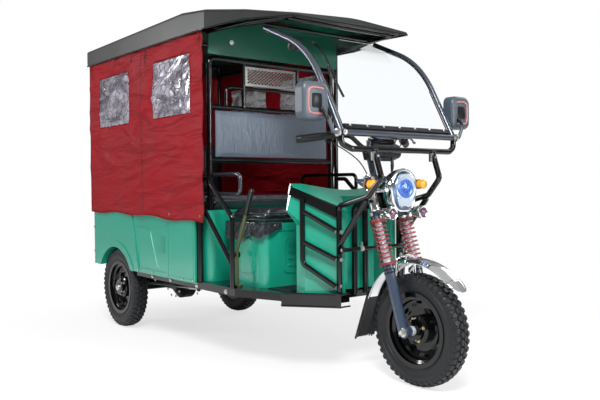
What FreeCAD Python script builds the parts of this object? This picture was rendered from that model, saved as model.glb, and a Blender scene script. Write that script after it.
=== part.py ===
"""A three-wheeled electric auto rickshaw, built from its pieces.

Millimetres. +X is forward, +Y is the driver's left, +Z is up. The origin is on the ground,
under the middle of the vehicle. Each piece is a solid of its own, written to parts/.
"""
import FreeCAD, Part
import math
import os
import re
import Sketcher

V = FreeCAD.Vector

# The driving sizes, each written once. Angles are in degrees.
SIZES = {
    # wheels and their places
    "wheel_base": 2116, "rear_axle_x": -1001.5, "rear_track": 849, "tyre_radius": 249,
    "tyre_width": 96, "tread_width": 78, "tread_crown": 5, "bead_width": 72, "seat_radius": 152,
    "flange_tall": 15, "rim_wall": 5, "rim_drop": 14, "drop_width": 30, "disc_wall": 6,
    "disc_dish": 16, "hub_radius": 48, "hub_width": 84, "axle_radius": 10, "axle_gap": 0.3,
    "seat_gap": 0.3,
    # steering head
    "rake": 18, "head_x": 857, "head_z": 850, "head_up": 30, "head_down": 100, "head_radius": 27,
    "stem_radius": 16, "stem_gap": 0.3, "stem_up": 198, "leg_forward": 45, "leg_side": 88,
    "slider_radius": 24, "slider_top": 352, "stanchion_radius": 15, "shroud_radius": 20,
    "stanchion_top": 56, "clamp_tall": 22, "clamp_run": 4, "clamp_round": 30, "clamp_side": 30,
    "lug_radius": 26, "lug_wide": 30, "spring_top": 150, "spring_radius": 31, "spring_wire": 4.5,
    "spring_pitch": 20, "cup_tall": 10, "cup_radius": 37,
    # handlebar
    "bar_radius": 11, "bar_bend": 40, "bar_forward": 40, "bar_up": 206, "bar_flat": 70,
    "bar_rise_side": 130, "bar_rise_up": 262, "bar_turn_side": 225, "bar_turn_up": 266,
    "grip_end_back": 72, "grip_end_side": 352, "grip_end_up": 281, "grip_radius": 17,
    "grip_long": 125, "bar_clamp_wide": 50, "bar_clamp_round": 20, "pod_low": 128, "pod_tall": 106,
    "pod_deep": 84, "pod_half": 60, "pod_round": 20,
    # lamps on the fork
    "lamp_x": 1020, "lamp_z": 862, "lamp_half_wide": 96, "lamp_half_tall": 96,
    "lamp_foot_share": 0.62, "lamp_bowl": 110, "lamp_dome": 38, "lamp_rim": 12, "lamp_gap": 0.3,
    "signal_x": 975, "signal_side": 160, "signal_z": 888, "signal_radius": 21, "signal_long": 44,
    "spot_x": 1022, "spot_side": 98, "spot_z": 762, "spot_radius": 24, "spot_long": 50,
    "lamp_arm": 7,
    # front mudguard
    "guard_radius": 312, "guard_half_wide": 50, "guard_crown": 16, "guard_wall": 3,
    "guard_front_angle": 49, "guard_rear_angle": 159, "flap_half_wide": 62, "flap_wall": 5,
    "flap_lap": 7, "flap_long": 208, "stay_x": 1018, "stay_half": 15, "stay_low": 485,
    "stay_top": 524.5, "stay_rise": 9,
    # chassis and floor
    "chassis_bottom": 350, "rail_tall": 30, "rail_wide": 30, "floor_wall": 8,
    "floor_half_wide": 470, "floor_waist_x": 350, "floor_front_x": 610, "floor_front_half": 375,
    "floor_nose_x": 822, "floor_nose_half": 214, "floor_notch_x": 718, "floor_notch_half": 150,
    "floor_round": 40, "floor_rear_x": -1310, "wheel_bay_gap": 24.5, "inner_rail": 320,
    "frame_gap": 0.3, "step_tall": 65, "step_wall": 14,
    # front posts, supports and leg guards
    "post_x": 802, "post_side": 194, "post_radius": 13, "tube_bend": 60, "hoop_back": 7,
    "hoop_z": 1040, "hoop_side": 312, "hoop_rise": 22, "arm_top_x": 1027, "arm_top_side": 186,
    "arm_front_x": 1070, "arm_front_z": 915, "arm_low_x": 993, "arm_low_z": 836, "arm_back_z": 790,
    "brace_x": 985, "brace_z": 822, "brace_foot_z": 610, "head_strut_side": 35,
    "head_strut_radius": 14, "strut_top_z": 800, "ladder_x": 705, "ladder_side": 331,
    "ladder_top": 830, "ladder_low": 530, "ladder_foot": 425, "rung_radius": 12,
    "rung_one_out": 770, "rung_one_in": 680, "rung_two_out": 630, "rung_two_in": 550,
    # leg shield
    "shield_wall": 8, "shield_rear_x": 618, "shield_front_x": 792, "shield_half": 178,
    "shield_low": 0.3, "shield_foot_half": 298, "shield_knee_z": 704, "shield_hip_half": 358,
    "shield_hip_z": 770, "shield_top_half": 332, "shield_top_z": 907, "shield_nose_z": 775,
    "shield_dip": 60, "shield_notch_x": 716, "shield_notch_half": 148, "band_wall": 14,
    "band_rear": 34, "band_front": 54,
    # windshield
    "screen_x1": 1006, "screen_z1": 1109, "screen_x2": 797, "screen_z2": 1492, "screen_x3": 470,
    "screen_z3": 1636, "screen_side": 359, "screen_bend": 480, "screen_tube": 14, "glass_wall": 5,
    "glass_gap": 0.3,
    # mirrors
    "mirror_x": 915, "mirror_side": 463, "mirror_z": 1238, "mirror_wide": 135, "mirror_tall": 160,
    "mirror_deep": 44, "mirror_round": 34, "mirror_arm": 8, "mirror_elbow_z": 1190,
    # body sides and tail
    "side_y": 491.5, "side_wall": 10, "side_rear_x": -1324, "side_front_x": 6, "side_low": 379,
    "side_top": 742, "arch_x": -996, "arch_radius": 258, "lip_wide": 40, "lip_proud": 5,
    "rib_top_x1": -814, "rib_top_x2": -758, "rib_low_x1": -720, "rib_low_x2": -658, "rib_proud": 3,
    "bay_low": 404, "bay_front_x": -305, "bay_deep": 5, "seam_deep": 2, "seam_wide": 4,
    "lid_z": 650, "fan_x1": -700, "fan_x2": -520, "fan_x3": -625, "fan_x4": -420, "fan_round": 24,
    "fan_proud": 3.5, "louvre_x": -385, "louvre_z": 512, "louvre_step": 17, "louvre_long": 50,
    "louvre_tall": 7, "door_inset": 16, "tail_wall": 12, "well_wall": 4, "well_radius": 262,
    "well_tyre_gap": 20.5, "plate_hole_gap": 120, "plate_hole_radius": 3.5, "plate_z": 560,
    # seats
    "seat_half": 358, "driver_rear_x": 105, "driver_front_x": 432, "driver_top": 702,
    "press_inset": 122, "press_low": 452, "press_top": 628, "press_round": 26, "press_proud": 4,
    "rib_first": 34, "rib_step": 34, "rib_tall": 14, "lid_line_z": 664, "side_fan_x1": 230,
    "side_fan_x2": 330, "side_fan_x3": 372, "box_round": 44, "box_wall": 8, "cushion_gap": 0.3,
    "driver_cushion": 66, "cushion_lip": 8, "middle_rear_x": -330, "middle_front_x": 60,
    "middle_top": 760, "middle_cushion": 70, "middle_half": 440, "rear_rear_x": -1290,
    "rear_front_x": -840, "rear_top": 730, "rear_half": 470, "rear_cushion": 80, "back_wall": 70,
    "back_top": 1190, "back_round": 24, "battery_long": 300, "battery_half": 300,
    "battery_tall": 230, "cushion_round": 26,
    # partition
    "part_x": 36, "part_side": 415, "part_tube": 15, "part_rung": 13, "part_bar": 11,
    "part_low_z": 1020, "part_mid_z": 1300, "part_high_z": 1552, "panel_half": 385,
    "panel_wall": 16, "mesh_low": 1425, "mesh_top": 1530, "mesh_wall": 4, "mesh_web": 4,
    "rail_side_right": 311, "rail_side_left": 250, "rail_top_z": 1410, "part_loop": 9,
    "mesh_frame": 10, "bar_side_right": 200, "bar_side_left": 165,
    # cabin frame
    "cabin_tube": 13, "cabin_front_x": 25, "cabin_rear_x": -1290, "roof_rail_z": 1690,
    "bow_bend": 24, "roof_front_x": 610, "roof_front_side": 340, "bow_mid_x": -640,
    # side guards and armrests
    "guard_y": 470, "guard_top_x": 104, "guard_top_z": 922, "guard_knee_x": 331,
    "guard_knee_z": 736, "guard_tube": 12, "guard_brace_z": 789, "guard_brace_x": 318,
    "guard_brace_low": 515, "arm_rear_x": -200, "arm_front": 285, "arm_low": 845, "arm_high": 945,
    "arm_tube": 10, "arm_bend": 30,
    # hand lever
    "lever_x1": 281, "lever_z1": 560, "lever_x2": 417, "lever_z2": 866, "lever_radius": 9,
    "lever_grip": 11, "lever_grip_share": 0.35, "lever_foot": 30, "lever_foot_wide": 24,
    # roof
    "roof_rear_x": -1365, "roof_rear_half": 509, "roof_rear_low": 1685, "roof_rear_top": 1806,
    "roof_crest_x": -80, "roof_crest_top": 1816, "roof_crest_low": 1674, "roof_crest_half": 509,
    "roof_wide_x": 152, "roof_wide_top": 1790, "roof_wide_low": 1674, "roof_wide_half": 509,
    "roof_bend_x": 400, "roof_bend_top": 1752, "roof_bend_low": 1682, "roof_bend_half": 440,
    "roof_nose_x": 705, "roof_nose_top": 1688, "roof_nose_low": 1655, "roof_nose_half": 367,
    "roof_drop": 22, "roof_edge": 16, "roof_wall": 6, "liner_wall": 4, "liner_gap": 0.3,
    "liner_inset": 16, "header_x": 60, "header_wall": 12, "header_half": 436, "header_low": 1568,
    # curtains
    "curtain_wall": 4, "curtain_low": 725, "curtain_top": 1700, "curtain_rear_x": -1340,
    "curtain_front_x": 125, "curtain_pull": 160, "curtain_gap": 0.3, "window_low": 1265,
    "window_top": 1575, "window_rear_x1": -1180, "window_rear_x2": -740, "window_front_x1": -420,
    "window_front_x2": -5, "window_round": 20, "film_wall": 1.5, "rear_window_half": 300,
    # rear axle
    "housing_radius": 34, "diff_radius": 112, "diff_half": 80, "motor_radius": 74,
    "motor_long": 190, "motor_back": 188, "gear_half": 34, "gear_round": 66, "plate_wall": 10,
    "spring_tyre_gap": 11.5, "leaf_wide": 50, "leaf_wall": 22, "leaf_lead": 45,
    "leaf_rear_x": -1286, "leaf_end_z": 336, "tail_lamp_z": 640, "tail_lamp_side": 400,
    "tail_lamp_wide": 90, "tail_lamp_tall": 60, "tail_lamp_deep": 22,
    # shared
    "overrun": 20,
}

doc = FreeCAD.newDocument("rickshaw")
sheet = doc.addObject("Spreadsheet::Sheet", "Sizes")
for row, (alias, number) in enumerate(SIZES.items(), start=1):
    sheet.set("A%d" % row, alias)
    sheet.set("B%d" % row, str(number))
    sheet.setAlias("B%d" % row, alias)
doc.recompute()

kept = []


def val(text):
    """The number that an expression in the sheet's names gives."""
    return float(sheet.evalExpression(text))


def bind(thing, prop, text):
    """Tie a property to an expression in the sheet's names."""
    full = re.sub(r"[A-Za-z_]\w*", lambda m: "Sizes." + m[0] if m[0] in SIZES else m[0], text)
    thing.setExpression(prop, full)


def place(thing, x="0", y="0", z="0", turn=None):
    """Put a thing at a point, turned by (axis, angle) if that is given."""
    if turn:
        thing.Placement = FreeCAD.Placement(V(), FreeCAD.Rotation(V(*turn[0]), val(turn[1])))
        bind(thing, "Placement.Rotation.Angle", turn[1])
    for side, text in (("x", x), ("y", y), ("z", z)):
        bind(thing, "Placement.Base." + side, text)
    return thing


def keep(thing, name):
    """Give a sub-part its own label and put it on the list of kept ones."""
    thing.Label = name
    kept.append(thing)
    return thing


def on_fork(thing):
    """Place a piece drawn in the fork's own frame: Z up the steering axis, X forward."""
    return place(thing, "head_x", "0", "head_z", ((0, 1, 0), "-rake"))


def draw(body, role, loops, offset="0"):
    """A sketch on one of the body's origin planes, with every point tied to the sheet.

    A loop is a list of (x, y) or (x, y, corner radius), or ("circle", x, y, radius).
    """
    sketch = body.newObject("Sketcher::SketchObject", body.Name + "_outline")
    plane = [f for f in body.Origin.OriginFeatures if f.Role == role][0]
    sketch.AttachmentSupport = (plane, "")
    sketch.MapMode = "FlatFace"
    bind(sketch, "AttachmentOffset.Base.z", offset)
    for loop in loops:
        if loop[0] == "circle":
            draw_circle(sketch, *loop[1:])
        else:
            draw_loop(sketch, loop)
    return sketch


def pin_point(sketch, geometry, which, x, y):
    """Fix a sketch point at two expressions."""
    for kind, text in (("DistanceX", x), ("DistanceY", y)):
        rule = sketch.addConstraint(Sketcher.Constraint(kind, -1, 1, geometry, which, val(text)))
        bind(sketch, "Constraints[%d]" % rule, text)


def draw_circle(sketch, x, y, radius):
    ring = sketch.addGeometry(Part.Circle(V(val(x), val(y), 0), V(0, 0, 1), val(radius)), False)
    rule = sketch.addConstraint(Sketcher.Constraint("Radius", ring, val(radius)))
    bind(sketch, "Constraints[%d]" % rule, radius)
    pin_point(sketch, ring, 3, x, y)


def draw_loop(sketch, points):
    """A closed loop of straight sides, its corners rounded by tangent arcs where a radius is given."""
    corners = [V(val(p[0]), val(p[1]), 0) for p in points]
    count = len(points)
    entries = []
    exits = []
    for i, corner in enumerate(corners):
        back = (corners[i - 1] - corner).normalize()
        ahead = (corners[(i + 1) % count] - corner).normalize()
        reach = 0
        if len(points[i]) > 2:
            reach = val(points[i][2]) / math.tan(back.getAngle(ahead) / 2)
        entries.append(corner + back * reach)
        exits.append(corner + ahead * reach)
    sides = []
    for i in range(count):
        line = Part.LineSegment(exits[i], entries[(i + 1) % count])
        sides.append(sketch.addGeometry(line, False))
    for i, point in enumerate(points):
        before = sides[i - 1]
        after = sides[i]
        if len(point) == 2:
            sketch.addConstraint(Sketcher.Constraint("Coincident", before, 2, after, 1))
            pin_point(sketch, after, 1, point[0], point[1])
            continue
        radius = val(point[2])
        inward = ((entries[i] - corners[i]).normalize() + (exits[i] - corners[i]).normalize())
        half = (entries[i] - corners[i]).getAngle(exits[i] - corners[i]) / 2
        centre = corners[i] + inward.normalize() * (radius / math.sin(half))
        spoke_in = entries[i] - centre
        spoke_out = exits[i] - centre
        first = math.atan2(spoke_in.y, spoke_in.x)
        last = math.atan2(spoke_out.y, spoke_out.x)
        forward = spoke_in.cross(spoke_out).z > 0
        span = (first, last) if forward else (last, first)
        arc = sketch.addGeometry(Part.ArcOfCircle(Part.Circle(centre, V(0, 0, 1), radius), *span), False)
        near, far = (1, 2) if forward else (2, 1)
        sketch.addConstraint(Sketcher.Constraint("Tangent", before, 2, arc, near))
        sketch.addConstraint(Sketcher.Constraint("Tangent", arc, far, after, 1))
        rule = sketch.addConstraint(Sketcher.Constraint("Radius", arc, radius))
        bind(sketch, "Constraints[%d]" % rule, point[2])
        mark = sketch.addGeometry(Part.Point(corners[i]), True)
        sketch.addConstraint(Sketcher.Constraint("PointOnObject", mark, 1, before))
        sketch.addConstraint(Sketcher.Constraint("PointOnObject", mark, 1, after))
        pin_point(sketch, mark, 1, point[0], point[1])


# An extrusion runs along one axis between two coordinates: the sketch's plane, and the sign
# that turns the far coordinate into the sketch's offset.
ALONG = {"x": ("YZ_Plane", "{low}"), "y": ("XZ_Plane", "-({high})"), "z": ("XY_Plane", "{low}")}


def extrude(body, kind, axis, low, high, loops):
    """Add (Pad) or cut (Pocket) the loops between two coordinates along an axis."""
    role, offset = ALONG[axis]
    sketch = draw(body, role, loops, offset.format(low=low, high=high))
    feature = body.newObject("PartDesign::" + kind, body.Name + "_" + kind)
    feature.Profile = sketch
    bind(feature, "Length", "(%s) - (%s)" % (high, low))
    feature.Reversed = kind == "Pocket"
    return feature


def new_body(name):
    return doc.addObject("PartDesign::Body", name)


def slab(name, axis, low, high, loops, cuts=()):
    """A body padded along an axis, with pockets (axis, low, high, loops) taken out of it."""
    body = new_body(name)
    extrude(body, "Pad", axis, low, high, loops)
    for cut in cuts:
        extrude(body, "Pocket", *cut)
    return body


def turned(name, loops, angle=None):
    """A body turned about the Y axis: the sketch has Y across and the radius up."""
    body = new_body(name)
    sketch = draw(body, "YZ_Plane", loops)
    turn = body.newObject("PartDesign::Revolution", name + "_turn")
    turn.Profile = sketch
    turn.ReferenceAxis = (sketch, ["H_Axis"])
    if angle:
        bind(turn, "Angle", angle)
    return body


def box_loop(x1, y1, x2, y2, radius=None):
    """A rectangle's loop, its four corners rounded if a radius is given."""
    corners = [(x1, y1), (x2, y1), (x2, y2), (x1, y2)]
    return [c + (radius,) for c in corners] if radius else corners


def mirrored(thing, name):
    """The same piece on the vehicle's other side."""
    twin = doc.addObject("Part::Mirroring", name)
    twin.Source = thing
    twin.Normal = V(0, 1, 0)
    return twin


def joined(kind, name, things):
    """A MultiFuse of pieces that are welded, or a Compound of like pieces that stand apart."""
    whole = doc.addObject("Part::" + kind, name)
    whole.setPropertyStatus("Placement", "-ReadOnly")
    if kind == "Compound":
        whole.Links = things
    else:
        whole.Shapes = things
    return whole


def both_sides(name, thing):
    return joined("Compound", name, [thing, mirrored(thing, name + "_twin")])


def route(points, bend):
    """A wire of straight runs whose corners are rounded by arcs."""
    corners = [V(*(val(c) for c in p)) for p in points]
    edges = []
    start = corners[0]
    for i in range(1, len(corners) - 1):
        back = (corners[i - 1] - corners[i]).normalize()
        ahead = (corners[i + 1] - corners[i]).normalize()
        half = back.getAngle(ahead) / 2
        reach = bend / math.tan(half)
        first = corners[i] + back * reach
        last = corners[i] + ahead * reach
        middle = corners[i] + (back + ahead).normalize() * (bend / math.sin(half) - bend)
        edges.append(Part.LineSegment(start, first).toShape())
        edges.append(Part.Arc(first, middle, last).toShape())
        start = last
    edges.append(Part.LineSegment(start, corners[-1]).toShape())
    return Part.Wire(edges)


def tube(name, points, radius, bend="tube_bend"):
    """A round bar bent along points in space."""
    path = route(points, val(bend))
    start = path.Edges[0]
    along = start.tangentAt(start.FirstParameter)
    ring = Part.Wire(Part.makeCircle(val(radius), path.Vertexes[0].Point, along))
    solid = path.makePipeShell([ring], True, False, 2)
    bar = doc.addObject("Part::Feature", name)
    bar.Shape = solid
    bar.Placement = FreeCAD.Placement()
    return bar


def welded(name, bars, radius, bend="tube_bend"):
    """Several bars, welded where they meet."""
    pieces = [tube("%s_bar_%d" % (name, i), points, radius, bend) for i, points in enumerate(bars)]
    return joined("MultiFuse", name, pieces)


def flipped(points):
    """The same points on the other side of the vehicle."""
    return [(x, "-(%s)" % y, z) for x, y, z in points]


def rod(name, radius, height):
    """A cylinder along Z."""
    bar = doc.addObject("Part::Cylinder", name)
    bind(bar, "Radius", radius)
    bind(bar, "Height", height)
    return bar


LEFTWARD = ((1, 0, 0), "-90")


def make_wheel(name, x, y, z):
    """A pressed steel disc wheel and its tyre, turned about the Y axis."""
    half = "bead_width / 2"
    rim_edge = "bead_width / 2 + rim_wall"
    flange = "seat_radius + flange_tall"
    drop = "(seat_radius - rim_drop)"
    rim = turned(name + "_rim", [[
        ("-(%s)" % rim_edge, "seat_radius - rim_wall"), ("-(%s)" % rim_edge, flange),
        ("-(%s + seat_gap)" % half, flange), ("-(%s + seat_gap)" % half, "seat_radius - seat_gap"),
        ("-drop_width / 2 - rim_drop / 2", "seat_radius - seat_gap"), ("-drop_width / 2", drop),
        ("drop_width / 2", drop), ("drop_width / 2 + rim_drop / 2", "seat_radius - seat_gap"),
        ("%s + seat_gap" % half, "seat_radius - seat_gap"), ("%s + seat_gap" % half, flange),
        (rim_edge, flange), (rim_edge, "seat_radius - rim_wall"),
        ("drop_width / 2 + rim_drop / 2 + disc_wall", "seat_radius - rim_wall"),
        ("drop_width / 2 + disc_wall", drop + " - rim_wall"),
        ("disc_wall", drop + " - rim_wall * 2"), ("disc_dish", "hub_radius * 2"),
        ("disc_dish", "hub_radius"), ("hub_width / 2", "hub_radius"),
        ("hub_width / 2", "axle_radius + axle_gap"), ("-hub_width / 2", "axle_radius + axle_gap"),
        ("-hub_width / 2", "hub_radius"), ("disc_dish - disc_wall", "hub_radius"),
        ("disc_dish - disc_wall", "hub_radius * 2"), ("0", drop + " - rim_wall * 2"),
        ("-drop_width / 2", drop + " - rim_wall"),
        ("-drop_width / 2 - rim_drop / 2", "seat_radius - rim_wall")]])
    place(rim, x, y, z)
    keep(rim, name + "_rim")
    tyre = turned(name + "_tyre", [[
        ("-(%s)" % half, "seat_radius"), (half, "seat_radius"), (half, flange + " + seat_gap"),
        ("tyre_width / 2", "(seat_radius + tyre_radius) / 2 - tread_crown"),
        ("tyre_width / 2", "(seat_radius + tyre_radius) / 2 + tread_crown"),
        ("tread_width / 2", "tyre_radius - tread_crown"), ("tread_width / 5", "tyre_radius"),
        ("-tread_width / 5", "tyre_radius"), ("-tread_width / 2", "tyre_radius - tread_crown"),
        ("-tyre_width / 2", "(seat_radius + tyre_radius) / 2 + tread_crown"),
        ("-tyre_width / 2", "(seat_radius + tyre_radius) / 2 - tread_crown"),
        ("-(%s)" % half, flange + " + seat_gap")]])
    place(tyre, x, y, z)
    keep(tyre, name + "_tyre")


def make_wheels():
    front_x = "rear_axle_x + wheel_base"
    make_wheel("front", front_x, "0", "tyre_radius")
    make_wheel("rear_right", "rear_axle_x", "-rear_track / 2", "tyre_radius")
    make_wheel("rear_left", "rear_axle_x", "rear_track / 2", "tyre_radius")


# The front axle in the fork's own frame.
AXLE_FORWARD = "((rear_axle_x + wheel_base - head_x) * cos(rake) - (head_z - tyre_radius) * sin(rake))"
AXLE_DROP = "((rear_axle_x + wheel_base - head_x) * sin(rake) + (head_z - tyre_radius) * cos(rake))"


def fork_point(x, y, z):
    """A point of the vehicle in the fork's own frame."""
    ahead = "(%s - head_x)" % x
    above = "(%s - head_z)" % z
    return ("(%s * cos(rake) + %s * sin(rake))" % (ahead, above), y,
            "(%s * cos(rake) - %s * sin(rake))" % (above, ahead))


def make_fork():
    """Telescopic fork in its own frame: stem, clamps, legs, the wheel's axle and the lamps' arms."""
    pieces = []
    stem = rod("stem", "stem_radius", "stem_up + head_down + clamp_run + clamp_tall")
    place(stem, "0", "0", "-(head_down + clamp_run + clamp_tall)")
    pieces.append(stem)
    for level, low in (("upper", "head_up + clamp_run"), ("lower", "-(head_down + clamp_run + clamp_tall)")):
        plan = [("leg_forward + clamp_round", "leg_side + clamp_side", "clamp_round"),
                ("-clamp_round", "clamp_side * 2", "clamp_round"),
                ("-clamp_round", "-clamp_side * 2", "clamp_round"),
                ("leg_forward + clamp_round", "-(leg_side + clamp_side)", "clamp_round")]
        pieces.append(slab(level + "_clamp", "z", low, low + " + clamp_tall", [plan]))
    for side in ("", "-"):
        slider = rod("slider", "slider_radius", AXLE_DROP + " - slider_top + lug_radius / 2")
        place(slider, "leg_forward", side + "leg_side", "-(%s + lug_radius / 2)" % AXLE_DROP)
        stanchion = rod("stanchion", "stanchion_radius", "slider_top + stanchion_top")
        place(stanchion, "leg_forward", side + "leg_side", "-slider_top")
        shroud = rod("shroud", "shroud_radius", "head_up + spring_top - cup_radius / 2")
        place(shroud, "leg_forward", side + "leg_side", "cup_radius / 2 - spring_top")
        pieces.append(shroud)
        lug = rod("axle_lug", "lug_radius", "lug_wide")
        y = "leg_side - lug_wide / 2" if not side else "-leg_side - lug_wide / 2"
        place(lug, AXLE_FORWARD, y, "-" + AXLE_DROP, LEFTWARD)
        low = "(head_down + clamp_run + clamp_tall / 2)"
        reach = "(spot_x - spot_long / 2 - lamp_gap - lamp_arm * sin(rake) - head_x - %s * sin(rake))" % low
        stub = rod("spot_stub", "lamp_arm", reach + " / cos(rake) - leg_forward")
        place(stub, "leg_forward", side + "spot_side", "-" + low, ((0, 1, 0), "90"))
        level = "head_up + clamp_run + clamp_tall / 2"
        seat = fork_point("(signal_x - signal_long / 2 - lamp_gap - lamp_arm * sin(rake))",
                          side + "signal_side", "signal_z")
        stalk = tube("signal_stalk", [("leg_forward", side + "leg_side", level),
                                      ("leg_forward", side + "signal_side", level),
                                      (seat[0] + " - lamp_arm * 3",) + seat[1:], seat],
                     "lamp_arm", "lamp_arm * 3 / 2")
        pieces += [slider, stanchion, lug, stub, stalk]
    bar = rod("lamp_bar", "lamp_arm", "leg_side * 2")
    seat = fork_point("(lamp_x - lamp_bowl - lamp_gap - lamp_arm)", "-leg_side", "lamp_z")
    pieces.append(place(bar, *seat, LEFTWARD))
    axle = rod("axle", "axle_radius", "leg_side * 2")
    place(axle, AXLE_FORWARD, "-leg_side", "-" + AXLE_DROP, LEFTWARD)
    pieces.append(axle)
    keep(on_fork(joined("MultiFuse", "fork", pieces)), "fork")


def make_fork_springs():
    """A coil spring round each leg, between two cups."""
    pieces = []
    seat = "spring_wire + frame_gap"
    tall = val("slider_top - spring_top - 2 * cup_tall - 2 * (%s)" % seat)
    for side in ("", "-"):
        coil = Part.makeHelix(val("spring_pitch"), tall, val("spring_radius"))
        start = V(val("spring_radius"), 0, 0)
        ring = Part.Wire(Part.makeCircle(val("spring_wire"), start, V(0, 1, 0)))
        spring = doc.addObject("Part::Feature", "spring_coil")
        spring.Shape = Part.Wire(coil.Edges).makePipeShell([ring], True, True)
        place(spring, "leg_forward", side + "leg_side", "%s + cup_tall - slider_top" % seat)
        pieces.append(spring)
    keep(on_fork(joined("Compound", "fork_springs", pieces)), "fork_springs")


def make_spring_cups():
    """The cups that hold the coil springs."""
    cups = []
    for side in ("", "-"):
        for level in ("-slider_top", "-(spring_top + cup_tall)"):
            cup = new_body("cup")
            hole = ("circle", "leg_forward", side + "leg_side", "stanchion_radius + stem_gap")
            rim = ("circle", "leg_forward", side + "leg_side", "cup_radius")
            extrude(cup, "Pad", "z", level, level + " + cup_tall", [rim, hole])
            cups.append(cup)
    keep(on_fork(joined("Compound", "spring_cups", cups)), "spring_cups")


def make_handlebar():
    half = [("bar_forward", "0", "bar_up"), ("bar_forward", "bar_flat", "bar_up"),
            ("bar_forward", "bar_rise_side", "bar_rise_up"),
            ("bar_forward", "bar_turn_side", "bar_turn_up"),
            ("-grip_end_back", "grip_end_side", "grip_end_up")]
    whole = flipped(half[1:])[::-1] + half[1:]
    bar = tube("bar", whole, "bar_radius", "bar_bend")
    clamp = slab("bar_clamp", "y", "-bar_clamp_wide / 2", "bar_clamp_wide / 2", [[
        ("-stem_radius", "bar_up - bar_clamp_round * 2"),
        ("bar_forward + bar_clamp_round", "bar_up - bar_clamp_round", "bar_clamp_round"),
        ("bar_forward + bar_clamp_round", "bar_up + bar_clamp_round", "bar_clamp_round"),
        ("-stem_radius", "bar_up + bar_clamp_round / 2")]],
        [("z", "bar_up - bar_clamp_round * 2 - overrun", "stem_up + stem_gap",
          [("circle", "0", "0", "stem_radius + stem_gap")])])
    keep(on_fork(joined("MultiFuse", "handlebar", [bar, clamp])), "handlebar")
    end = V(*(val(c) for c in half[-1]))
    turn = V(*(val(c) for c in half[-2]))
    along = (turn - end).normalize()
    hole = Part.makeCylinder(val("bar_radius + stem_gap"), val("grip_long"), end, along)
    sleeve = Part.makeCylinder(val("grip_radius"), val("grip_long"), end, along)
    grip = doc.addObject("Part::Feature", "grip")
    grip.Shape = sleeve.cut(hole)
    keep(on_fork(both_sides("grips", grip)), "grips")


def make_instruments():
    """The instrument pod in front of the handlebar's clamp: a rounded box with a sloping face."""
    back = "bar_forward + bar_clamp_round + stem_gap"
    pod = slab("instruments", "y", "-pod_half", "pod_half", [[
        (back, "pod_low", "pod_round"), (back + " + pod_deep", "pod_low", "pod_round"),
        (back + " + pod_deep", "pod_low + pod_tall / 2", "pod_round"),
        (back + " + pod_round", "pod_low + pod_tall"), (back, "pod_low + pod_tall")]])
    keep(on_fork(pod), "instruments")


# How far back each section of the headlamp stands, as a share of its depth, and its size there.
BOWL_SHARES = ((0, 1), (0.3, 0.95), (0.6, 0.8), (0.85, 0.56), (1, 0.3))
DOME_SHARES = ((0, 1), (0.5, 0.86), (0.85, 0.55), (1, 0.25))


def rounded_loft(name, depth, half_wide, half_tall, shares):
    """Egg-shaped sections lofted forwards (or backwards, if the depth is negative) from the lamp's rim."""
    body = new_body(name)
    sections = []
    for back_share, size_share in shares:
        wide = "(%s) * %s" % (half_wide, size_share)
        tall = "(%s) * %s" % (half_tall, size_share)
        foot = wide + " * lamp_foot_share"
        loop = [("-" + foot, "-" + tall, foot + " * 0.85"), (foot, "-" + tall, foot + " * 0.85"),
                (wide, tall, wide + " * 0.8"), ("-" + wide, tall, wide + " * 0.8")]
        sections.append(draw(body, "YZ_Plane", [loop], "(%s) * %s" % (depth, back_share)))
    loft = body.newObject("PartDesign::AdditiveLoft", name + "_loft")
    loft.Profile = sections[0]
    loft.Sections = sections[1:]
    return body


def make_lamps():
    """Headlamp with its glass, two turn signals and two small spot lamps."""
    bowl = rounded_loft("bowl", "-lamp_bowl", "lamp_half_wide", "lamp_half_tall", BOWL_SHARES)
    keep(place(bowl, "lamp_x", "0", "lamp_z"), "headlamp")
    dome = rounded_loft("dome", "lamp_dome", "lamp_half_wide - lamp_rim", "lamp_half_tall - lamp_rim",
                        DOME_SHARES)
    keep(place(dome, "lamp_x + lamp_gap", "0", "lamp_z"), "headlamp_lens")
    signal = rod("signal", "signal_radius", "signal_long")
    place(signal, "signal_x - signal_long / 2", "signal_side", "signal_z", ((0, 1, 0), "90"))
    keep(both_sides("signal_lamps", signal), "signal_lamps")
    spot = rod("spot", "spot_radius", "spot_long")
    place(spot, "spot_x - spot_long / 2", "spot_side", "spot_z", ((0, 1, 0), "90"))
    keep(both_sides("spot_lamps", spot), "spot_lamps")


def crowned(half, outer, wall):
    """A strip's section across: edges low, middle flat, at an outer radius."""
    outside = [("-%s" % half, outer + " - guard_crown"), ("-%s / 2" % half, outer, half + " / 2"),
               (half + " / 2", outer, half + " / 2"), (half, outer + " - guard_crown")]
    inside = [(point[0], "%s - %s" % (point[1], wall)) + point[2:] for point in outside[::-1]]
    return outside + inside


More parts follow.
